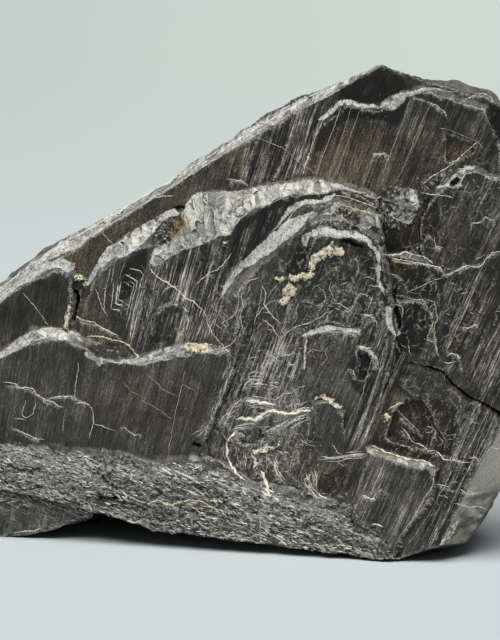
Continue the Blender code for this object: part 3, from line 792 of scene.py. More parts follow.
def nearby(across, down, points, reach):
    """The places whose drawn position is within reach of the box round some points."""
    xs, ys = zip(*points)
    return np.flatnonzero((across > min(xs) - reach) & (across < max(xs) + reach)
                          & (down > min(ys) - reach) & (down < max(ys) + reach))


def outlined(across, down, outlines):
    """How far inside the nearest of several outlines each place is, in points, held between -6 and 6."""
    best = np.full(len(across), -6.0)
    for outline in outlines:
        close = nearby(across, down, outline, 7)
        x, y = across[close], down[close]
        gap = np.full(len(close), 1e9)
        within = np.zeros(len(close), bool)
        for (x0, y0), (x1, y1) in zip(outline, outline[1:] + outline[:1]):
            run = ((x - x0) * (x1 - x0) + (y - y0) * (y1 - y0)) / ((x1 - x0) ** 2 + (y1 - y0) ** 2)
            run = np.clip(run, 0, 1)
            gap = np.minimum(gap, np.hypot(x - x0 - run * (x1 - x0), y - y0 - run * (y1 - y0)))
            if y0 != y1:
                within ^= ((y0 > y) != (y1 > y)) & (x < (x1 - x0) * (y - y0) / (y1 - y0) + x0)
        best[close] = np.maximum(best[close], np.clip(np.where(within, gap, -gap), -6, 6))
    return best


def plated(places, seed):
    """A surface broken into plates one unit across: height, a tone for each, distance from its edge."""
    corner = np.floor(places).astype(np.int64)
    nearest = np.full(len(places), np.inf)
    second = np.full(len(places), np.inf)
    height = np.zeros(len(places))
    tone = np.zeros(len(places))
    for shift in itertools.product((-1, 0, 1), repeat=3):
        cell = (corner + shift).astype(float)
        offset = [0.5 + 0.5 * lattice_noise(cell, seed + axis) for axis in range(3)]
        centre = cell + np.stack(offset, axis=1)
        tilt = np.stack([lattice_noise(cell, seed + 7 + axis) for axis in range(3)], axis=1)
        away = places - centre
        gap = (away ** 2).sum(axis=1)
        closer = gap < nearest
        height = np.where(closer, (away * tilt).sum(axis=1), height)
        tone = np.where(closer, tilt[:, 2], tone)
        second = np.where(closer, nearest, np.minimum(second, gap))
        nearest = np.minimum(nearest, gap)
    return height, tone, np.sqrt(second) - np.sqrt(nearest)


def painted(across, down, patches):
    """The strongest of several soft oval patches at each place."""
    total = np.zeros(len(across))
    for x, y, half_length, half_width, turn, strength in patches:
        angle = math.radians(turn)
        run = (across - x) * math.cos(angle) + (down - y) * math.sin(angle)
        side = (down - y) * math.cos(angle) - (across - x) * math.sin(angle)
        reach = np.hypot(run / half_length, side / half_width)
        total = np.maximum(total, strength * smooth(1.5, 0.5, reach))
    return total


def in_face_axes(places):
    """Places in mm along three axes: across the striae, out of the face, and along the striae."""
    cos_t, sin_t = math.cos(FACE_TURN), math.sin(FACE_TURN)
    cos_l, sin_l = math.cos(STRIA_LEAN), math.sin(STRIA_LEAN)
    along_face = places[:, 0] * cos_t - places[:, 1] * sin_t
    into_face = places[:, 0] * sin_t + places[:, 1] * cos_t
    across = along_face * cos_l - places[:, 2] * sin_l
    up = along_face * sin_l + places[:, 2] * cos_l
    return np.stack((across, into_face, up), axis=1) / MM


def vertex_places(mesh):
    places = np.empty(len(mesh.vertices) * 3)
    mesh.vertices.foreach_get("co", places)
    return places.reshape(-1, 3)


def vertex_normals(mesh):
    normals = np.empty(len(mesh.vertices) * 3)
    mesh.vertex_normals.foreach_get("vector", normals)
    return normals.reshape(-1, 3)


def set_places(mesh, places):
    mesh.vertices.foreach_set("co", places.ravel())
    mesh.update()


def store(mesh, name, values):
    """Keeps one number for each vertex, for the material to read."""
    attribute = mesh.attributes.get(name) or mesh.attributes.new(name, "FLOAT", "POINT")
    attribute.data.foreach_set("value", values.astype(np.float32))


def pick_only(made):
    bpy.ops.object.select_all(action="DESELECT")
    made.select_set(True)
    bpy.context.view_layer.objects.active = made


def apply_modifier(made, kind, **settings):
    pick_only(made)
    modifier = made.modifiers.new(kind.title(), kind)
    for key, value in settings.items():
        setattr(modifier, key, value)
    bpy.ops.object.modifier_apply(modifier=modifier.name)


def add(tree, kind, *values, **settings):
    """Adds a node with its settings, links or fills its inputs, and gives its output.

    A colour is given as a hex code. A sum or product of many values becomes a chain of nodes.
    """
    blender_kind, usual_settings, inputs, output = KINDS[kind]
    while len(values) > max(2, len(inputs)):
        values = (add(tree, kind, *values[:2]), *values[2:])
    made = tree.nodes.new(blender_kind)
    for key, value in (usual_settings | settings).items():
        setattr(made, key, value)
    for key, value in zip(inputs, values):
        if isinstance(value, bpy.types.NodeSocket):
            tree.links.new(value, made.inputs[key])
        else:
            made.inputs[key].default_value = (*linear(value), 1) if isinstance(value, str) else value
    return None if output is None else made.outputs[output]


def new_material(name):
    """An empty material, and the function that adds nodes to it."""
    material = bpy.data.materials.new(name)
    material.use_nodes = True
    material.node_tree.nodes.clear()
    return material, functools.partial(add, material.node_tree)


class Skin:
    """What the crystal's colour, gloss and relief are made from: painted layers and noise patterns."""

    def __init__(self, node):
        self.node = node
        here = node("place")
        for name in PAINTED:
            setattr(self, name, node("painted", attribute_name=name))
        self.mm = node("axes", here, (0.0, 0.0, -FACE_TURN), (MM, MM, MM))
        self.shear = node("axes", here, (0.0, SHEAR_FALL, -FACE_TURN), (MM, MM, MM))
        self.face = node("joined", self.across_striae, node("parted", self.mm), self.along_striae)
        self.plates = node("turned", self.mm, node("plus", 0.1, node("times", self.plate_tone, 2.0)))
        for name, (axes, size, *look) in PATTERNS.items():
            scaled = node("scaled", getattr(self, axes), tuple(1 / side for side in size))
            setattr(self, name, node("noise", scaled, 1.0, *look))

        # Outlines are kept as distances in points, so their edges stay sharp and a little ragged
        ragged = node("plus", self.swing(self.crumbs, 4.0), self.swing(self.speckle, 1.5))
        self.fractured = node("ramp", node("plus", self.fractured, ragged), -0.5, 0.5)
        self.ledge = node("ramp", node("plus", self.ledge, ragged), -0.4, 0.4)
        less_ragged = node("times", ragged, 0.7)
        # The dark outlines are mostly painted shade; they and the brown film keep the painted sheen off
        self.dark = node("ramp", node("plus", self.dark, less_ragged), -2.0, 1.2)
        self.film = node("ramp", node("plus", self.brown, less_ragged), -0.8, 0.8)
        self.wall = node("times", self.wall, self.without(self.dark), self.without(self.film))
        self.open_face = node("times", self.without(self.wall), self.without(self.band),
                              self.without(self.fractured), self.without(self.ledge))

    def swing(self, pattern, size):
        """How far a pattern is above or below its middle, times a size."""
        return self.node("times", self.node("less", pattern, 0.5), size)

    def without(self, layer):
        return self.node("less", 1.0, layer)


def striated_colour(skin):
    """Grown faces: nearly black, striae painted pale as highlights. Gives the colour and where a brown film
    lies.
    """
    node = skin.node
    striae = node(
        "plus", node("times", node("ramp", skin.broad, 0.38, 0.62), 0.34),
        node("times", node("ramp", skin.middle, 0.36, 0.64), 0.30),
        node("times", node("ramp", skin.fine, 0.36, 0.64), 0.36))
    streak = node(
        "plus", 0.455, skin.swing(striae, node("plus", 0.20, node("times", skin.striae, 0.52))),
        skin.swing(skin.patches, 0.40), skin.swing(skin.speckle, 0.50),
        skin.swing(skin.dashes, node(
            "plus", 0.55, node("times", skin.striae, 0.5), node("times", skin.flaky, 0.5))),
        node("times", skin.pale, 0.12))
    # Painted shade: the dark outlines darken the faces towards black
    streak = node("less", streak, node("times", skin.dark, 0.24))
    colour = node("stops", streak)
    stops = colour.node.color_ramp.elements
    for end in (0, -1):
        stops[end].position, stops[end].color = STREAK_COLOURS[end][0], (*linear(STREAK_COLOURS[end][1]), 1)
    for position, code in STREAK_COLOURS[1:-1]:
        stops.new(position).color = (*linear(code), 1)
    patina = node("times", skin.patina, node("ramp", skin.crumbs, 0.30, 0.62, 0.35, 1.0))
    brown = node("most", patina, skin.film)
    tone = node("ramp", node("plus", streak, skin.swing(skin.speckle, 0.8)), 0.2, 0.9)
    share = node("times", brown, node("ramp", streak, 0.75, 0.5, 0.2, 0.75))
    return node("mix", share, colour, node("mix", tone, "#1f1913", "#8d7a62")), brown


def broken_colour(skin, base):
    """The back and sides, which broke across the grain: rough and dull. The lower right facet is grey."""
    node = skin.node
    tone = node("plus", node("times", skin.splinter, 0.4), node("times", skin.crumbs, 0.6),
                skin.swing(skin.speckle, 0.3), skin.swing(skin.patches, 0.35))
    rear = node("mix", node("ramp", tone, 0.36, 0.64), "#2d2b27", "#6f6a61")
    rear = node("mix", node("ramp", skin.speckle, 0.58, 0.68, 0.0, 0.55), rear, "#9c968a")
    base = node("mix", skin.hidden, base, rear)
    cloudy = node("plus", 0.5, skin.swing(skin.patches, 0.4), skin.swing(skin.speckle, 1.0))
    share = node("times", skin.facet, node("ramp", cloudy, 0.35, 0.65, 0.55, 0.95))
    return node("mix", share, base, "#cbc4b6")


def sheared_colour(skin):
    """The sheared band: splintery grey leaves with pale flecks that stream down to the right."""
    node = skin.node
    schist = node("mix", node("ramp", skin.leaves, 0.38, 0.62), "#292a27", "#77766e")
    schist = node("mix", node("ramp", skin.streams, 0.44, 0.56, 0.85, 0.0), schist, "#3b3d3a")
    schist = node("mix", node("ramp", skin.patches, 0.44, 0.58, 0.0, 0.65), schist, "#444642")
    flecked = node("ramp", skin.flecks, 0.54, 0.61, 0.0, 0.85)
    flecked = node("times", flecked, node("ramp", skin.streams, 0.46, 0.60))
    schist = node("mix", flecked, schist, "#ded9cb")
    return node("mix", node("ramp", skin.layers, 0.57, 0.64, 0.0, 0.45), schist, "#b5b2a5")


def fractured_colour(skin):
    """Splintered ledges: whitish from scattering broken rock and from painted light, streaked by hackles."""
    node = skin.node
    torn = node("plus", skin.hackle, node("times", skin.plate_tone, 0.16))
    broken = node("mix", node("ramp", torn, 0.34, 0.56), "#83827b", "#c6c4ba")
    broken = node("mix", node("ramp", torn, 0.54, 0.66, 0.0, 0.6), broken, "#f6f3e8")
    broken = node("mix", node("ramp", skin.gaps, 0.36, 0.46, 0.5, 0.0), broken, "#45443f")
    # Plate edges painted white: painted highlight and broken edge
    return node("mix", node("ramp", skin.plate_edge, 0.03, 0.07, 0.7, 0.0), broken, "#fffdf6")


def painted_ledge_sheen(skin):
    """Smooth ledges and the upper sides of steps: an even, faintly blue grey painted sheen."""
    node = skin.node
    tone = node("plus", node("times", skin.hackle, 0.35), node("times", skin.crumbs, 0.65),
                skin.swing(skin.speckle, 0.4))
    sheen = node("mix", node("ramp", tone, 0.36, 0.62), "#7e7e78", "#dadad1")
    return node("mix", node("ramp", skin.speckle, 0.54, 0.68, 0.0, 0.8), sheen, "#f2f2ec")


def hair_cracks(skin):
    """Where fine cracks break up the flaking faces."""
    node = skin.node
    shift = node("joined", node("times", skin.crumbs, 1.6), 0.0, node("times", skin.patches, 2.4))
    gap = node("cells", node("moved", skin.mm, shift), 0.55)
    return node("times", node("ramp", gap, 0.0, 0.05, 1.0, 0.0), node("ramp", skin.spots, 0.46, 0.58),
                node("ramp", skin.flaky, 0.0, 0.6), skin.open_face)


def stains_wear_and_painted_shade(skin, base):
    """Pale ridge edges, painted as highlight and wear; painted shade in creases and underneath; ochre stains.
    """
    node = skin.node
    # Pale ridge edges: painted highlight where ridges catch the light, and wear
    lit_and_worn_edge = node("times", skin.rim, skin.without(skin.fractured))
    lit_and_worn_edge = node("times", lit_and_worn_edge, node("ramp", skin.speckle, 0.40, 0.60, 0.0, 0.7))
    base = node("mix", lit_and_worn_edge, base, "#dad6ca")
    # Painted shade in creases and hollows
    base = node("mix", node("times", skin.cavity, 0.75), base, "#0e0d0b")
    # Painted shade under overhangs and on the underside
    base = node("mix", node("times", skin.under, 0.9), base, "#0a0908")
    stain = node("ramp", node("plus", skin.crumbs, skin.swing(skin.speckle, 1.0)), 0.40, 0.62)
    return node("mix", node("times", skin.ochre, stain, 0.8), base, "#94774a")


def relief(skin, coat):
    """Height in mm: striae on the faces, splinters on the ledges, leaves in the band."""
    node = skin.node
    return node(
        "plus", node("times", skin.splinter, skin.hidden, 0.35),
        node("times", skin.crumbs, skin.hidden, 0.12),
        node("times", skin.fine, skin.open_face, 0.10),
        node("times", skin.middle, node("plus", 0.05, node("times", skin.striae, 0.17))),
        node("times", skin.broad, skin.striae, 0.16),
        node("times", skin.crumbs, node("ramp", skin.wall, 0.0, 1.0, 0.06, 0.12)),
        node("times", skin.hackle, skin.fractured, 0.13), node("times", skin.hackle, skin.ledge, 0.04),
        node("times", skin.leaves, skin.band, 0.20), node("times", skin.flecks, skin.band, 0.10),
        node("times", skin.speckle, 0.05), node("times", coat, skin.crumbs, 0.25))


def tantalite_material(settings):
    """Grown and broken tantalite: dull sub-metallic striated faces, pale where it splintered; painted light
    and shade.
    """
    material, node = new_material("tantalite_grown_and_fractured")
    skin = Skin(node)
    base, brown = striated_colour(skin)
    base = broken_colour(skin, base)
    base = node("mix", skin.band, base, sheared_colour(skin))
    # Painted sheen: faces turned up and the smooth ledges are painted pale grey, as if lit from above
    sheen = painted_ledge_sheen(skin)
    base = node("mix", node("times", skin.wall, 0.14), base, sheen)
    base = node("mix", skin.ledge, base, sheen)
    base = node("mix", skin.fractured, base, fractured_colour(skin))
    base = node("mix", node("times", hair_cracks(skin), 0.40), base, "#cfc9ba")
    base = stains_wear_and_painted_shade(skin, base)

    # Cream crust: fine-grained and chalky, darker where it is thin
    coat = node("plus", skin.crust, skin.swing(skin.speckle, 5.0), skin.swing(skin.crumbs, 13.0))
    coat = node("ramp", coat, 0.2, 0.6)
    thick = node("ramp", node("plus", skin.crumbs, skin.swing(skin.speckle, 0.7)), 0.39, 0.51)
    base = node("mix", coat, base, node("mix", thick, "#57462c", "#f4e8cc"))

    rough = node("ramp", skin.middle, 0.3, 0.7, 0.44, 0.30)
    for layer, value in ((skin.wall, 0.45), (skin.ledge, 0.42), (skin.fractured, 0.60), (skin.band, 0.46),
                         (coat, 0.9), (brown, 0.6)):
        rough = node("blend", layer, rough, value)
    bump = node("bump", relief(skin, coat), MM, 1.0)
    node("output", node("surface", base, rough, bump, settings.gloss_ior))
    return material


def vein_material(name, faint, bright):
    """Fine mineral in healed cracks and on chipped edges: chalky, cream where thick, grey where thin."""
    material, node = new_material(name)
    tone = node("painted", attribute_name="tone")
    grain = node("noise", node("place"), VEIN_GRAINS, 3.0)
    lit = node("plus", tone, node("ramp", grain, 0.35, 0.65, -0.35, 0.15))
    bump = node("bump", grain, 0.1 * MM, 1.0)
    node("output", node("surface", node("mix", lit, faint, bright), 0.75, bump))
    return material


def backdrop_material(settings):
    """Matt paper: pale grey, painted faintly blue-green and darker behind the crystal, darkest to the left:
    painted light falloff.
    """
    material, node = new_material("matt_backdrop_paper")
    here = node("place")
    behind = node("parted", here)
    along = behind.node.outputs["X"]
    painted_falloff = node("mix", node("ramp", along, -0.06, 0.06), "#bcc7c2", "#c6d1cb")
    colour = node("mix", node("ramp", behind, 0.06, 0.36), (*settings.paper_colour, 1), painted_falloff)
    node("output", node("surface", colour, 0.9))
    return material


def crystal_copy(settings):
    """The solid's own skin, merged and remeshed to fine even cells, with large ones on the back."""
    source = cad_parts[NODE]
    made = source.copy()
    made.data = source.data.copy()
    made.name = SURFACE
    made.data.name = made.name
    made.parent = None
    made.hide_render = False
    for key in list(made.keys()):
        del made[key]
    bpy.context.scene.collection.objects.link(made)
    pick_only(made)
    bpy.ops.object.mode_set(mode="EDIT")
    bpy.ops.mesh.select_all(action="SELECT")
    bpy.ops.mesh.remove_doubles(threshold=0.001 * MM)
    bpy.ops.mesh.select_all(action="DESELECT")
    bpy.ops.object.mode_set(mode="OBJECT")
    apply_modifier(made, "REMESH", mode="VOXEL", voxel_size=settings.cell, use_smooth_shade=False)
    mesh = made.data
    normals = vertex_normals(mesh)
    across, _, recess = on_drawing(vertex_places(mesh))
    hidden = (normals @ FACE_OUT < -0.15) | (recess > HIDDEN_DEPTH) | (normals[:, 2] < -0.6)
    hidden |= (across < -OUT_OF_PICTURE) | (across > PICTURE_WIDTH + OUT_OF_PICTURE)
    mesh.vertices.foreach_set("select", hidden)
    bpy.ops.object.mode_set(mode="EDIT")
    bpy.ops.mesh.select_mode(type="VERT")
    bpy.ops.mesh.decimate(ratio=settings.back_share)
    bpy.ops.mesh.select_all(action="DESELECT")
    bpy.ops.object.mode_set(mode="OBJECT")
    apply_modifier(made, "TRIANGULATE")
    return made


def terraced(values, count, softness):
    """Turns a smooth field into flat treads with short risers, count treads to a unit."""
    scaled = values * count
    tread = np.floor(scaled)
    return (tread + smooth(0.5 - softness, 0.5 + softness, scaled - tread)) / count


def evened(mesh, places, rounds):
    """The places after each has moved to the mean of its neighbours, several times over."""
    ends = np.empty(len(mesh.edges) * 2, np.int64)
    mesh.edges.foreach_get("vertices", ends)
    first, second = ends.reshape(-1, 2).T
    count = np.bincount(ends, minlength=len(places))[:, None]
    for _ in range(rounds):
        total = np.stack([
            np.bincount(first, places[second, axis], len(places))
            + np.bincount(second, places[first, axis], len(places))
            for axis in range(3)
        ], axis=1)
        places = 0.5 * places + 0.5 * total / count
    return places


class Face:
    """Every vertex of the surface: where it lies on the drawing, and what is drawn there."""

    def __init__(self, mesh):
        places = vertex_places(mesh)
        normals = vertex_normals(mesh)
        across, down, recess = on_drawing(places)
        local = places / MM
        self.mesh, self.places, self.normals, self.local = mesh, places, normals, local
        self.across, self.down = across, down
        self.axes = in_face_axes(places)

        # How far each place lies behind the deepest part of the face, and whether it is on the face at all
        self.sunk = recess - (FACE_DEEPEST - LEAN_PER_POINT * (down - FACE_TOP_POINT))
        self.front = smooth(6.5 * MM, 3.0 * MM, self.sunk)
        self.front *= smooth(-0.2, 0.15, normals @ FACE_OUT)

        # Every drawn line is jagged in the same way
        self.line_across = across + LINE_JAG * noise(local, "jag across")
        self.line_down = down + LINE_JAG * noise(local, "jag down")

        self.wall = smooth(0.30, 0.60, normals[:, 2]) * smooth(-0.3, 0.05, normals @ FACE_OUT)
        band_side, _ = from_line(across, down, BAND_TOP)
        band_side += BAND_JAG * noise(local, "band edge")
        self.band = smooth(-3.5, 4.5, band_side) * self.front * (1 - 0.75 * painted(across, down, FOOT))
        facet_side, _ = from_line(across, down, FACET_RIDGE)
        self.facet = smooth(1.0, -1.5, facet_side) * smooth(385, 425, down)
        self.facet *= smooth(60, 40, abs(across - 480))
        self.facet *= smooth(14 * MM, 9 * MM, self.sunk)
        self.flaky = painted(across, down, FLAKY)
        self.crumbly = painted(self.line_across, self.line_down, CRUMBLY)
        self.drawn = {
            name: outlined(self.line_across, self.line_down, outlines)
            for name, outlines in (("fractured", FRACTURED), ("ledge", SMOOTH_LEDGES), ("dark", DARK),
                                   ("brown", BROWN))
        }
        self.streaked = outlined(across, down, STREAKED)
        self.crust = outlined(across + CRUST_JAG * noise(local, "crust across"),
                              down + CRUST_JAG * noise(local, "crust down"), CRUST)
        self.beside_crack = np.zeros(len(places))
        self.plate_tone = np.zeros(len(places))
        self.plate_edge = np.ones(len(places))
        self.wander = np.stack([noise(local, f"wander {axis}") for axis in "xyz"], axis=1)


def step_and_crack(face, lift):
    """Adds the drawn growth steps, each sinking back below its edge, and cuts the open cracks."""
    for height, fade, line in STEPS:
        close = nearby(face.across, face.down, line, 4 * fade)
        side, along = from_line(face.line_across[close], face.line_down[close], line)
        ends = smooth(0.0, 0.12, along) * smooth(1.0, 0.88, along)
        sinking = np.exp(-np.maximum(side, 0) / fade)
        lift[close] += height * STEP_SHARE * MM * smooth(-0.9, 0.9, side) * sinking * ends
    for depth, half_width, line in CRACKS:
        close = nearby(face.across, face.down, line, 10)
        side, along = from_line(face.line_across[close], face.line_down[close], line)
        ends = smooth(0.0, 0.15, along) * smooth(1.0, 0.85, along)
        face.beside_crack[close] = np.maximum(face.beside_crack[close], smooth(9, 4, abs(side)))
        lift[close] -= depth * MM * smooth(2.2 * half_width * MM / POINT, 0.3, abs(side)) * ends


def rib_and_flake(face, lift, settings):
    """Adds the ribs along the crystal, curved flakes, long swells, and crumbs where the face is crumbly."""
    on_ledge = smooth(-1, 2, np.maximum(face.drawn["fractured"], face.drawn["ledge"]))
    calm = (1 - face.wall) * (1 - face.band) * (1 - face.facet) * (1 - on_ledge)
    ribs = terraced(noise(face.axes, "ribs"), 3, 0.20)
    flakes = terraced(noise(face.axes, "flakes"), 4, 0.12)
    lift += settings.rib_depth * ribs * calm * (0.5 + smooth(-2, 3, face.streaked))
    lift += settings.flake_depth * flakes * calm * (0.10 + face.flaky)
    lift += HEIGHTS["swells"] * MM * noise(face.local, "swells") * (1 - face.facet)
    lift += HEIGHTS["crumbs"] * MM * noise(face.local, "crumbs") * face.crumbly


def break_ledges(face, lift):
    """Breaks the splintered ledges into small tilted plates."""
    torn = np.flatnonzero(face.drawn["fractured"] > -2)
    slanted = face.axes[torn] @ SLANT / PLATE_SIZE
    plates, tone, edge = plated(slanted + 0.25 * face.wander[torn], PLATE_SEED)
    lift[torn] += HEIGHTS["plates"] * MM * plates * smooth(-1, 2, face.drawn["fractured"][torn])
    face.plate_tone[torn] = tone
    face.plate_edge[torn] = edge


def shear_band(face, lift, settings):
    """Splits the band along the foot into leaves that fall to the right."""
    shear_axes = np.stack((
        (face.across * math.cos(LEAF_FALL) + face.down * math.sin(LEAF_FALL)) * POINT / MM,
        face.axes[:, 1],
        (face.down * math.cos(LEAF_FALL) - face.across * math.sin(LEAF_FALL)) * POINT / MM,
    ), axis=1)
    leaves = terraced(noise(shear_axes, "leaves", 0.5 * face.wander), 4, 0.22)
    lift += 1.5 * settings.leaf_depth * leaves * face.band


def roughen(made, settings):
    """Moves the surface: wandering ledges, steps, broken walls, ribs, the sheared band, cracks, crust."""
    face = Face(made.data)
    places, local = face.places, face.local

    # Ledges wander and chip instead of running straight
    freedom = np.minimum(1, 0.35 + face.front)[:, None]
    places = places + face.wander * settings.wander * np.array((1.0, 0.4, 1.0)) * freedom

    lift = np.zeros(len(places))
    step_and_crack(face, lift)
    rib_and_flake(face, lift, settings)
    break_ledges(face, lift)
    lift += np.maximum(0, face.sunk - FILLED_DEPTH) * painted(face.across, face.down, FILLED)
    shear_band(face, lift, settings)
    places = places + FACE_OUT * (lift * face.front)[:, None]
    splinters = noise(local, "splinters") * settings.splinter
    splinters *= np.clip(face.wall * face.front + 0.12 * face.front, 0, 1)
    places = places + face.normals * splinters[:, None]

    # The back is lumpy, and flat only where it stands
    lumps = noise(local, "lumps") * HEIGHTS["lumps"] * MM
    lumps += terraced(noise(local, "shelves"), 3, 0.2) * HEIGHTS["shelves"] * MM
    lumps += noise(local, "grit") * HEIGHTS["grit"] * MM
    lumps = lumps * (1 - face.front) * (1 - face.facet) * smooth(0, 2.0 * MM, places[:, 2])
    places = places + face.normals * lumps[:, None]

    crust = HEIGHTS["crust"] * MM * smooth(-0.6, 1.6, face.crust) * (0.8 + 0.5 * noise(local, "crust"))
    places = places + FACE_OUT * (crust * face.front)[:, None]
    places[:, 2] = np.maximum(places[:, 2], 0)
    set_places(made.data, places)
    store_layers(face, places)


def store_layers(face, places):
    """Stores on the moved vertices what the material reads of them."""
    across, down, front, facet = face.across, face.down, face.front, face.facet
    normals = vertex_normals(face.mesh)
    ridge = ((places - evened(face.mesh, places, 5)) * normals).sum(axis=1) / MM
    # Faces turned up, which the material paints with a pale painted sheen
    wall = smooth(0.28, 0.55, normals[:, 2]) * smooth(-0.3, 0.05, normals @ FACE_OUT)
    groove_shade = 0.6 * smooth(-3, 4, outlined(across, down, GROOVE_SHADE))
    faintly = 0.32 * smooth(-6, 6, outlined(across, down, FAINTLY_STREAKED))
    layers = {
        name: np.where(front > 0.3, drawn, np.minimum(drawn, FAR_OUTSIDE))
        for name, drawn in face.drawn.items()
    }
    layers |= {
        "wall": wall * (1 - face.beside_crack),
        "band": face.band,
        "facet": facet * smooth(-0.1, 0.1, -normals @ np.array(LOOK)),
        "hidden": (1 - front) * (1 - facet),
        # Faces turned down near the floor, painted black as painted shade
        "under": smooth(-0.1, -0.45, normals[:, 2]) * smooth(14 * MM, 7 * MM, places[:, 2]),
        # Sharp ridges, painted pale as highlight and wear
        "rim": smooth(0.016, 0.050, ridge) * (1 - face.beside_crack) * front,
        # Creases and hollows, painted dark as painted shade, darkest in the drawn grooves
        "cavity": np.maximum(smooth(-0.018, -0.07, ridge), groove_shade) * front,
        "crust": face.crust + FAR_OUTSIDE * (1 - front),
        "patina": painted(across, down, PATINA) * np.maximum(front, 0.4),
        "ochre": painted(across, down, OCHRE) * front,
        # Paler patches, less the painted half shade
        "pale": (painted(across, down, PALE) - 0.6 * painted(across, down, SHADED)) * front,
        "flaky": face.flaky * front,
        "striae": np.maximum(smooth(-5, 5, face.streaked), faintly),
        "plate_tone": face.plate_tone,
        "plate_edge": face.plate_edge,
    }

    # Striae fan out a little: the lines of equal "across_striae" meet far below the picture
    across, down, _ = on_drawing(places)
    fan = (across - FAN[0]) / (FAN[1] - down)
    layers["across_striae"] = fan * (FAN[1] - 200) * POINT / MM
    layers["along_striae"] = -down * POINT / MM
    for name in PAINTED:
        store(face.mesh, name, layers[name])


def seen_at(skin, across, down):
    """The place on the surface that the camera sees at a point of the drawing, or None."""
    height = (FLOOR_POINT - down) * POINT / math.cos(VIEW_ELEVATION)
    start = Vector((LOW.x + (across - LEFT_END_POINT) * POINT, FACE_DATUM, height))
    return skin.ray_cast(start - LOOK * RAY_START, LOOK)[0]


def jagged(line, chance, sway):
    """A drawn line recut into short runs of uneven length, each corner off it by up to sway points."""
    points = []
    for (x0, y0), (x1, y1) in zip(line, line[1:]):
        length = math.dist((x0, y0), (x1, y1))
        count = max(1, round(length / chance.uniform(*RIDGE_RUNS)))
        for step in range(count):
            off = chance.uniform(-sway, sway) / length
            share = step / count
            x = x0 + (x1 - x0) * share - (y1 - y0) * off
            points.append((x, y0 + (y1 - y0) * share + (x1 - x0) * off))
    return points + [line[-1]]


def rib(skin, line, half_width, tone, chance, built, sway=0.5):
    """Adds a low closed ridge along a line: uneven edges, a rough top, and a root in the surface."""
    places, faces, tones = built
    points = jagged(line, chance, sway)
    last = len(points) - 1
    lanes = 3 if half_width < BROAD_RIDGE else 5
    rings = []
    for index, (x, y) in enumerate(points):
        (x0, y0), (x1, y1) = points[max(index - 1, 0)], points[min(index + 1, last)]
        length = math.dist((x0, y0), (x1, y1)) or 1.0
        across, down = (y0 - y1) / length, (x1 - x0) / length
        taper = half_width * min(1.0, 0.25 + 0.4 * index, 0.25 + 0.4 * (last - index))
        reaches = (-taper * chance.uniform(*RIDGE_EDGES), taper * chance.uniform(*RIDGE_EDGES))
        middle = seen_at(skin, x, y)
        if middle is None:
            continue
        ring = []
        for lane in range(lanes):
            share = lane / (lanes - 1)
            reach = reaches[0] * (1 - share) + reaches[1] * share
            place = seen_at(skin, x + across * reach, y + down * reach)
            if place is None or abs(place.y - middle.y) > RIDGE_FALL:
                place = middle + Vector((across * reach, 0, -down * reach)) * POINT
            rise = -0.5 if lane in (0, lanes - 1) else chance.uniform(0.5, 1.1)
            ring.append(place - LOOK * rise * min(RIDGE_HEIGHT, 0.02 * MM + 0.8 * half_width * POINT))
        ring.append(middle + LOOK * RIDGE_ROOT)
        rings.append(ring)
    if len(rings) < 2:
        return
    first = len(places)
    size = lanes + 1
    for ring in rings:
        places.extend(ring)
        tones.extend([tone] * size)
    for index in range(len(rings) - 1):
        low = first + index * size
        for lane in range(size):
            after = (lane + 1) % size
            faces.append((low + lane, low + after, low + size + after, low + size + lane))
    faces.append(tuple(range(first, first + size)))
    faces.append(tuple(range(first + (len(rings) - 1) * size, first + len(rings) * size)))


def joined_ribs(name, built, material):
    """One object made of all the ridges built so far, riding on the crystal."""
    places, faces, tones = built
    mesh = bpy.data.meshes.new(name)
    mesh.from_pydata(places, [], faces)
    made = bpy.data.objects.new(name, mesh)
    bpy.context.scene.collection.objects.link(made)
    pick_only(made)
    bpy.ops.object.mode_set(mode="EDIT")
    bpy.ops.mesh.select_all(action="SELECT")
    bpy.ops.mesh.normals_make_consistent(inside=False)
    bpy.ops.mesh.select_all(action="DESELECT")
    bpy.ops.object.mode_set(mode="OBJECT")
    store(mesh, "tone", np.array(tones))
    mesh.materials.append(material)
    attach(made, BODY)
    print(name.upper(), len(mesh.vertices), "vertices", len(mesh.polygons), "faces")
    return made


def scallops(chance, count, zones):
    """Short curved chips of the flaking faces: their lines, half widths in points and tones."""
    made = []
    for _ in range(count):
        x, y, half_length, half_width, _, strength = chance.choice(zones)
        x += chance.gauss(0, 0.45) * half_length
        y += chance.gauss(0, 0.45) * half_width
        radius = chance.uniform(2.0, 8)
        start = chance.uniform(math.radians(150), math.radians(300))
        sweep = chance.uniform(0.4, 1.6)
        flat = chance.uniform(0.25, 0.9)
        steps = chance.choice((1, 2, 2, 3))
        lean = chance.choice((0.0, 0.0, -1.2, 0.5))
        line = []
        for step in range(steps + 1):
            angle = start + sweep * step / steps
            run, fall = radius * math.cos(angle), radius * flat * math.sin(angle)
            line.append((x + run * math.cos(lean) - fall * math.sin(lean),
                         y + run * math.sin(lean) + fall * math.cos(lean)))
        made.append((line, chance.uniform(0.2, 1.0) ** 1.5 * strength + 0.2, chance.uniform(0.0, 1.2)))
    return made


def specks(chance, count):
    """Pale crumbs scattered over the face, a few of them placed as the photo shows."""
    made = [(((x, y), (x + 1.5, y + 0.8)), 1.0, 1.1) for x, y in SPECKS]
    for _ in range(count):
        x, y = chance.uniform(60, 500), chance.uniform(90, 470)
        turn, half = chance.uniform(0, math.pi), chance.uniform(0.3, 0.9)
        run, fall = half * math.cos(turn), half * math.sin(turn)
        line = [(x - run, y - fall), (x + run, y + fall)]
        made.append((line, chance.uniform(0.25, 0.6), chance.uniform(0.2, 1.2)))
    return made


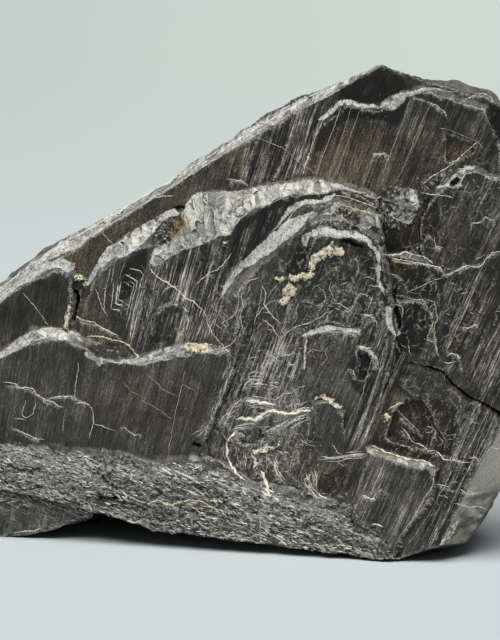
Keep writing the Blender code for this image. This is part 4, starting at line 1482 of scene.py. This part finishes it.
def stream_flecks(chance, clusters):
    """Short pale slivers of the sheared band, lying in streams that fall to the right."""
    made = []
    for _ in range(clusters):
        x = chance.uniform(-66, 400)
        top = np.interp(x, *zip(*BAND_TOP))
        y = top + 4 + (1 - chance.random() ** 0.7) * (88 if x > 90 else 60)
        strong = chance.choice((0.8, 0.8, 1.0, 1.5))
        for _ in range(chance.randint(3, 9)):
            run, side = chance.gauss(0, 9), chance.gauss(0, 2.6)
            middle_x = x + run * math.cos(SHEAR_FALL) - side * math.sin(SHEAR_FALL)
            middle_y = y + run * math.sin(SHEAR_FALL) + side * math.cos(SHEAR_FALL)
            if middle_y < np.interp(middle_x, *zip(*BAND_TOP)) + 2:
                continue
            turn = SHEAR_FALL + chance.gauss(0, 0.28)
            half = chance.uniform(1.0, 4.2)
            line = [(middle_x + share * half * math.cos(turn), middle_y + share * half * math.sin(turn))
                    for share in (-1, -0.3, 0.4, 1)]
            made.append((line, chance.uniform(0.35, 0.9) * strong, chance.uniform(0.25, 1.1) * strong))
    return made


def strands(chance, count):
    """Fainter lines that keep beside the veins of the flaky middle of the face."""
    made = []
    starts = np.array([line[0] for _, _, line in VEINS])
    in_middle = painted(starts[:, 0], starts[:, 1], FLAKY[:1]) > 0.1
    middle = [line for (_, _, line), inside in zip(VEINS, in_middle) if inside]
    for _ in range(count):
        line = chance.choice(middle)
        first = chance.randrange(len(line) - 1)
        last = chance.randint(first + 2, first + 4)
        right, lower = chance.uniform(-5, 5), chance.uniform(-5, 5)
        moved = [(x + right, y + lower) for x, y in line[first:last]]
        made.append((moved, chance.uniform(0.2, 1.0), chance.uniform(0.2, 1.1)))
    return made


def lips(chance, outlines, tone):
    """The thin bright lower edges of ledges: painted highlights and chipped edges."""
    made = []
    for outline in outlines:
        turning = sum(x0 * y1 - x1 * y0 for (x0, y0), (x1, y1) in zip(outline, outline[1:] + outline[:1]))
        for start, end in zip(outline, outline[1:] + outline[:1]):
            below = (end[0] - start[0]) * (1 if turning < 0 else -1) > 0.45 * math.dist(start, end)
            if below and chance.random() < 0.75:
                made.append(((start, end), chance.uniform(0.35, 0.8), tone * chance.uniform(0.5, 1.0)))
    return made


def thinned(made, settings):
    """Fewer, larger faces where the surface is flat, with the edges kept."""
    share = settings.most_faces / len(made.data.polygons)
    apply_modifier(made, "DECIMATE", ratio=min(1.0, share))


class CrystalSettings(bpy.types.PropertyGroup):
    cell: bpy.props.FloatProperty(
        name="Cell", description="Side of the mesh cells on the face",
        default=0.16 * MM, unit="LENGTH", precision=5)
    most_faces: bpy.props.IntProperty(
        name="Most faces", description="Triangles left in the finished surface",
        default=196000)
    back_share: bpy.props.FloatProperty(
        name="Back share", description="Share of the cells kept on the back",
        default=0.12, subtype="FACTOR")
    wander: bpy.props.FloatProperty(
        name="Wander", description="How far ledges stray from straight",
        default=0.12 * MM, unit="LENGTH", precision=5)
    rib_depth: bpy.props.FloatProperty(
        name="Rib depth", description="Relief of the ribs along the crystal",
        default=0.14 * MM, unit="LENGTH", precision=5)
    flake_depth: bpy.props.FloatProperty(
        name="Flake depth", description="Relief of the flaked steps",
        default=0.40 * MM, unit="LENGTH", precision=5)
    leaf_depth: bpy.props.FloatProperty(
        name="Leaf depth", description="Relief of the leaves in the sheared band",
        default=0.18 * MM, unit="LENGTH", precision=5)
    splinter: bpy.props.FloatProperty(
        name="Splinter", description="Roughness of the broken ledges",
        default=0.09 * MM, unit="LENGTH", precision=5)
    gloss_ior: bpy.props.FloatProperty(
        name="Gloss", description="Index of refraction of the crystal faces",
        default=1.4)


class StageSettings(bpy.types.PropertyGroup):
    paper_colour: bpy.props.FloatVectorProperty(
        name="Paper", description="Colour of the floor and backdrop",
        subtype="COLOR", default=linear("#c9d1d3"))
    top_light: bpy.props.FloatProperty(
        name="Top light", description="Strength of the soft light overhead",
        default=3.35)
    top_spread: bpy.props.FloatProperty(
        name="Top spread", description="Apparent width of the light overhead",
        default=math.radians(50), subtype="ANGLE")
    sky_light: bpy.props.FloatProperty(
        name="Sky light", description="Strength of the even light all round",
        default=0.16)
    distance: bpy.props.FloatProperty(
        name="Camera distance", description="From the camera to the crystal",
        default=1.0, unit="LENGTH")


class TANTALITE_OT_crystal(bpy.types.Operator):
    """Make the crystal's fine surface over its solid"""

    bl_idname = "tantalite.crystal"
    bl_label = "Crystal"

    def execute(self, context):
        settings = context.scene.tantalite_crystal
        made = crystal_copy(settings)
        roughen(made, settings)
        thinned(made, settings)
        pick_only(made)
        bpy.ops.object.shade_smooth_by_angle(angle=SHARP_EDGE)
        made.data.materials.clear()
        made.data.materials.append(tantalite_material(settings))
        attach(made, BODY)
        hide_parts(NODE)
        print("CRYSTAL", len(made.data.vertices), "vertices", len(made.data.polygons), "faces")
        return {"FINISHED"}


class TANTALITE_OT_veins(bpy.types.Operator):
    """Fill the healed cracks with pale mineral, chip the edges of the ledges, and paint highlights on lips
    and striae
    """

    bl_idname = "tantalite.veins"
    bl_label = "Veins and chips"

    def execute(self, context):
        crystal = bpy.data.objects[SURFACE]
        skin = BVHTree.FromObject(crystal, context.evaluated_depsgraph_get())
        chance = random.Random(CHANCE_SEED)
        veins = ([], [], [])
        for share, half_width, line in VEINS:
            rib(skin, line, half_width * MM / POINT, share, chance, veins)
        # The pale veins also carry painted highlights along some striae
        joined_ribs("pale_veins", veins, vein_material("cream_feldspar_veins_and_stria_highlights", "#8d8677", "#fbf3e0"))
        chips = ([], [], [])
        small = scallops(chance, CHIPS, FLAKY) + scallops(chance, MIDDLE_CHIPS, FLAKY[:1])
        small += specks(chance, CRUMBS) + scallops(chance, CRUMBLY_CHIPS, CRUMBLY)
        small += strands(chance, STRANDS) + stream_flecks(chance, SLIVER_CLUSTERS)
        # The bright lower lips of ledges: painted highlights and chipped edges
        small += lips(chance, FRACTURED, 1.0) + lips(chance, SMOOTH_LEDGES, 0.8)
        small += [(line, 1.4 * half_width, tone + 0.25) for tone, half_width, line in GROWTH]
        for line, half_width, tone in small:
            rib(skin, line, half_width, tone, chance, chips, 0.3)
        joined_ribs("chipped_slivers", chips,
                    vein_material("chipped_tantalite_edges_and_highlights", "#5f5c55", "#f6f3ea"))
        return {"FINISHED"}


class TANTALITE_OT_stage(bpy.types.Operator):
    """Set the pale floor, the soft light, the sky and the camera"""

    bl_idname = "tantalite.stage"
    bl_label = "Stage"

    def execute(self, context):
        settings = context.scene.tantalite_stage
        bpy.ops.object.select_all(action="DESELECT")
        bpy.ops.mesh.primitive_plane_add(size=FLOOR_SIDE, location=(0, 0, 0))
        floor = context.object
        floor.name = "seamless_floor"
        floor.data.materials.append(backdrop_material(settings))

        bpy.ops.object.select_all(action="DESELECT")
        bpy.ops.object.light_add(type="SUN", location=(0, 0, 1))
        lamp = context.object
        lamp.name = "overhead_softbox"
        lamp.data.energy = settings.top_light
        lamp.data.angle = settings.top_spread
        lamp.rotation_euler = LIGHT_FALL.to_track_quat("-Z", "Y").to_euler()
        world = bpy.data.worlds.new("pale_room")
        context.scene.world = world
        world.use_nodes = True
        sky = world.node_tree.nodes["Background"]
        sky.inputs["Color"].default_value = (*linear("#e3e9e8"), 1)
        sky.inputs["Strength"].default_value = settings.sky_light

        raised = Vector((0, math.sin(VIEW_ELEVATION), math.cos(VIEW_ELEVATION)))
        middle_across = LOW.x + (PICTURE_WIDTH / 2 - LEFT_END_POINT) * POINT
        middle_up = (FLOOR_POINT - PICTURE_HEIGHT / 2) * POINT
        aim = Vector((middle_across, FACE_DATUM, 0)) + raised * middle_up
        data = bpy.data.cameras.new("photo_camera")
        data.sensor_width = SENSOR_WIDTH
        data.lens = data.sensor_width * settings.distance / (PICTURE_HEIGHT * POINT)
        data.clip_start = 0.05
        camera = bpy.data.objects.new("photo_camera", data)
        context.scene.collection.objects.link(camera)
        camera.location = aim - LOOK * settings.distance
        camera.rotation_euler = LOOK.to_track_quat("-Z", "Y").to_euler()
        context.scene.camera = camera
        context.scene.view_settings.view_transform = "Standard"
        return {"FINISHED"}


class TANTALITE_PT_panel(bpy.types.Panel):
    bl_idname = "TANTALITE_PT_panel"
    bl_label = "Tantalite specimen"
    bl_space_type = "VIEW_3D"
    bl_region_type = "UI"
    bl_category = "Tantalite"

    def draw(self, context):
        layout = self.layout
        for settings in (context.scene.tantalite_crystal, context.scene.tantalite_stage):
            for key in settings.__annotations__:
                layout.prop(settings, key)
        for operator in OPERATORS:
            layout.operator(operator.bl_idname)


OPERATORS = (TANTALITE_OT_crystal, TANTALITE_OT_veins, TANTALITE_OT_stage)
CLASSES = (CrystalSettings, StageSettings, *OPERATORS, TANTALITE_PT_panel)


def register():
    for made in CLASSES:
        bpy.utils.register_class(made)
    bpy.types.Scene.tantalite_crystal = bpy.props.PointerProperty(type=CrystalSettings)
    bpy.types.Scene.tantalite_stage = bpy.props.PointerProperty(type=StageSettings)


def unregister():
    del bpy.types.Scene.tantalite_stage
    del bpy.types.Scene.tantalite_crystal
    for made in reversed(CLASSES):
        bpy.utils.unregister_class(made)


def main():
    register()
    bpy.ops.tantalite.crystal()
    bpy.ops.tantalite.veins()
    bpy.ops.tantalite.stage()


if __name__ == "__main__":
    main()
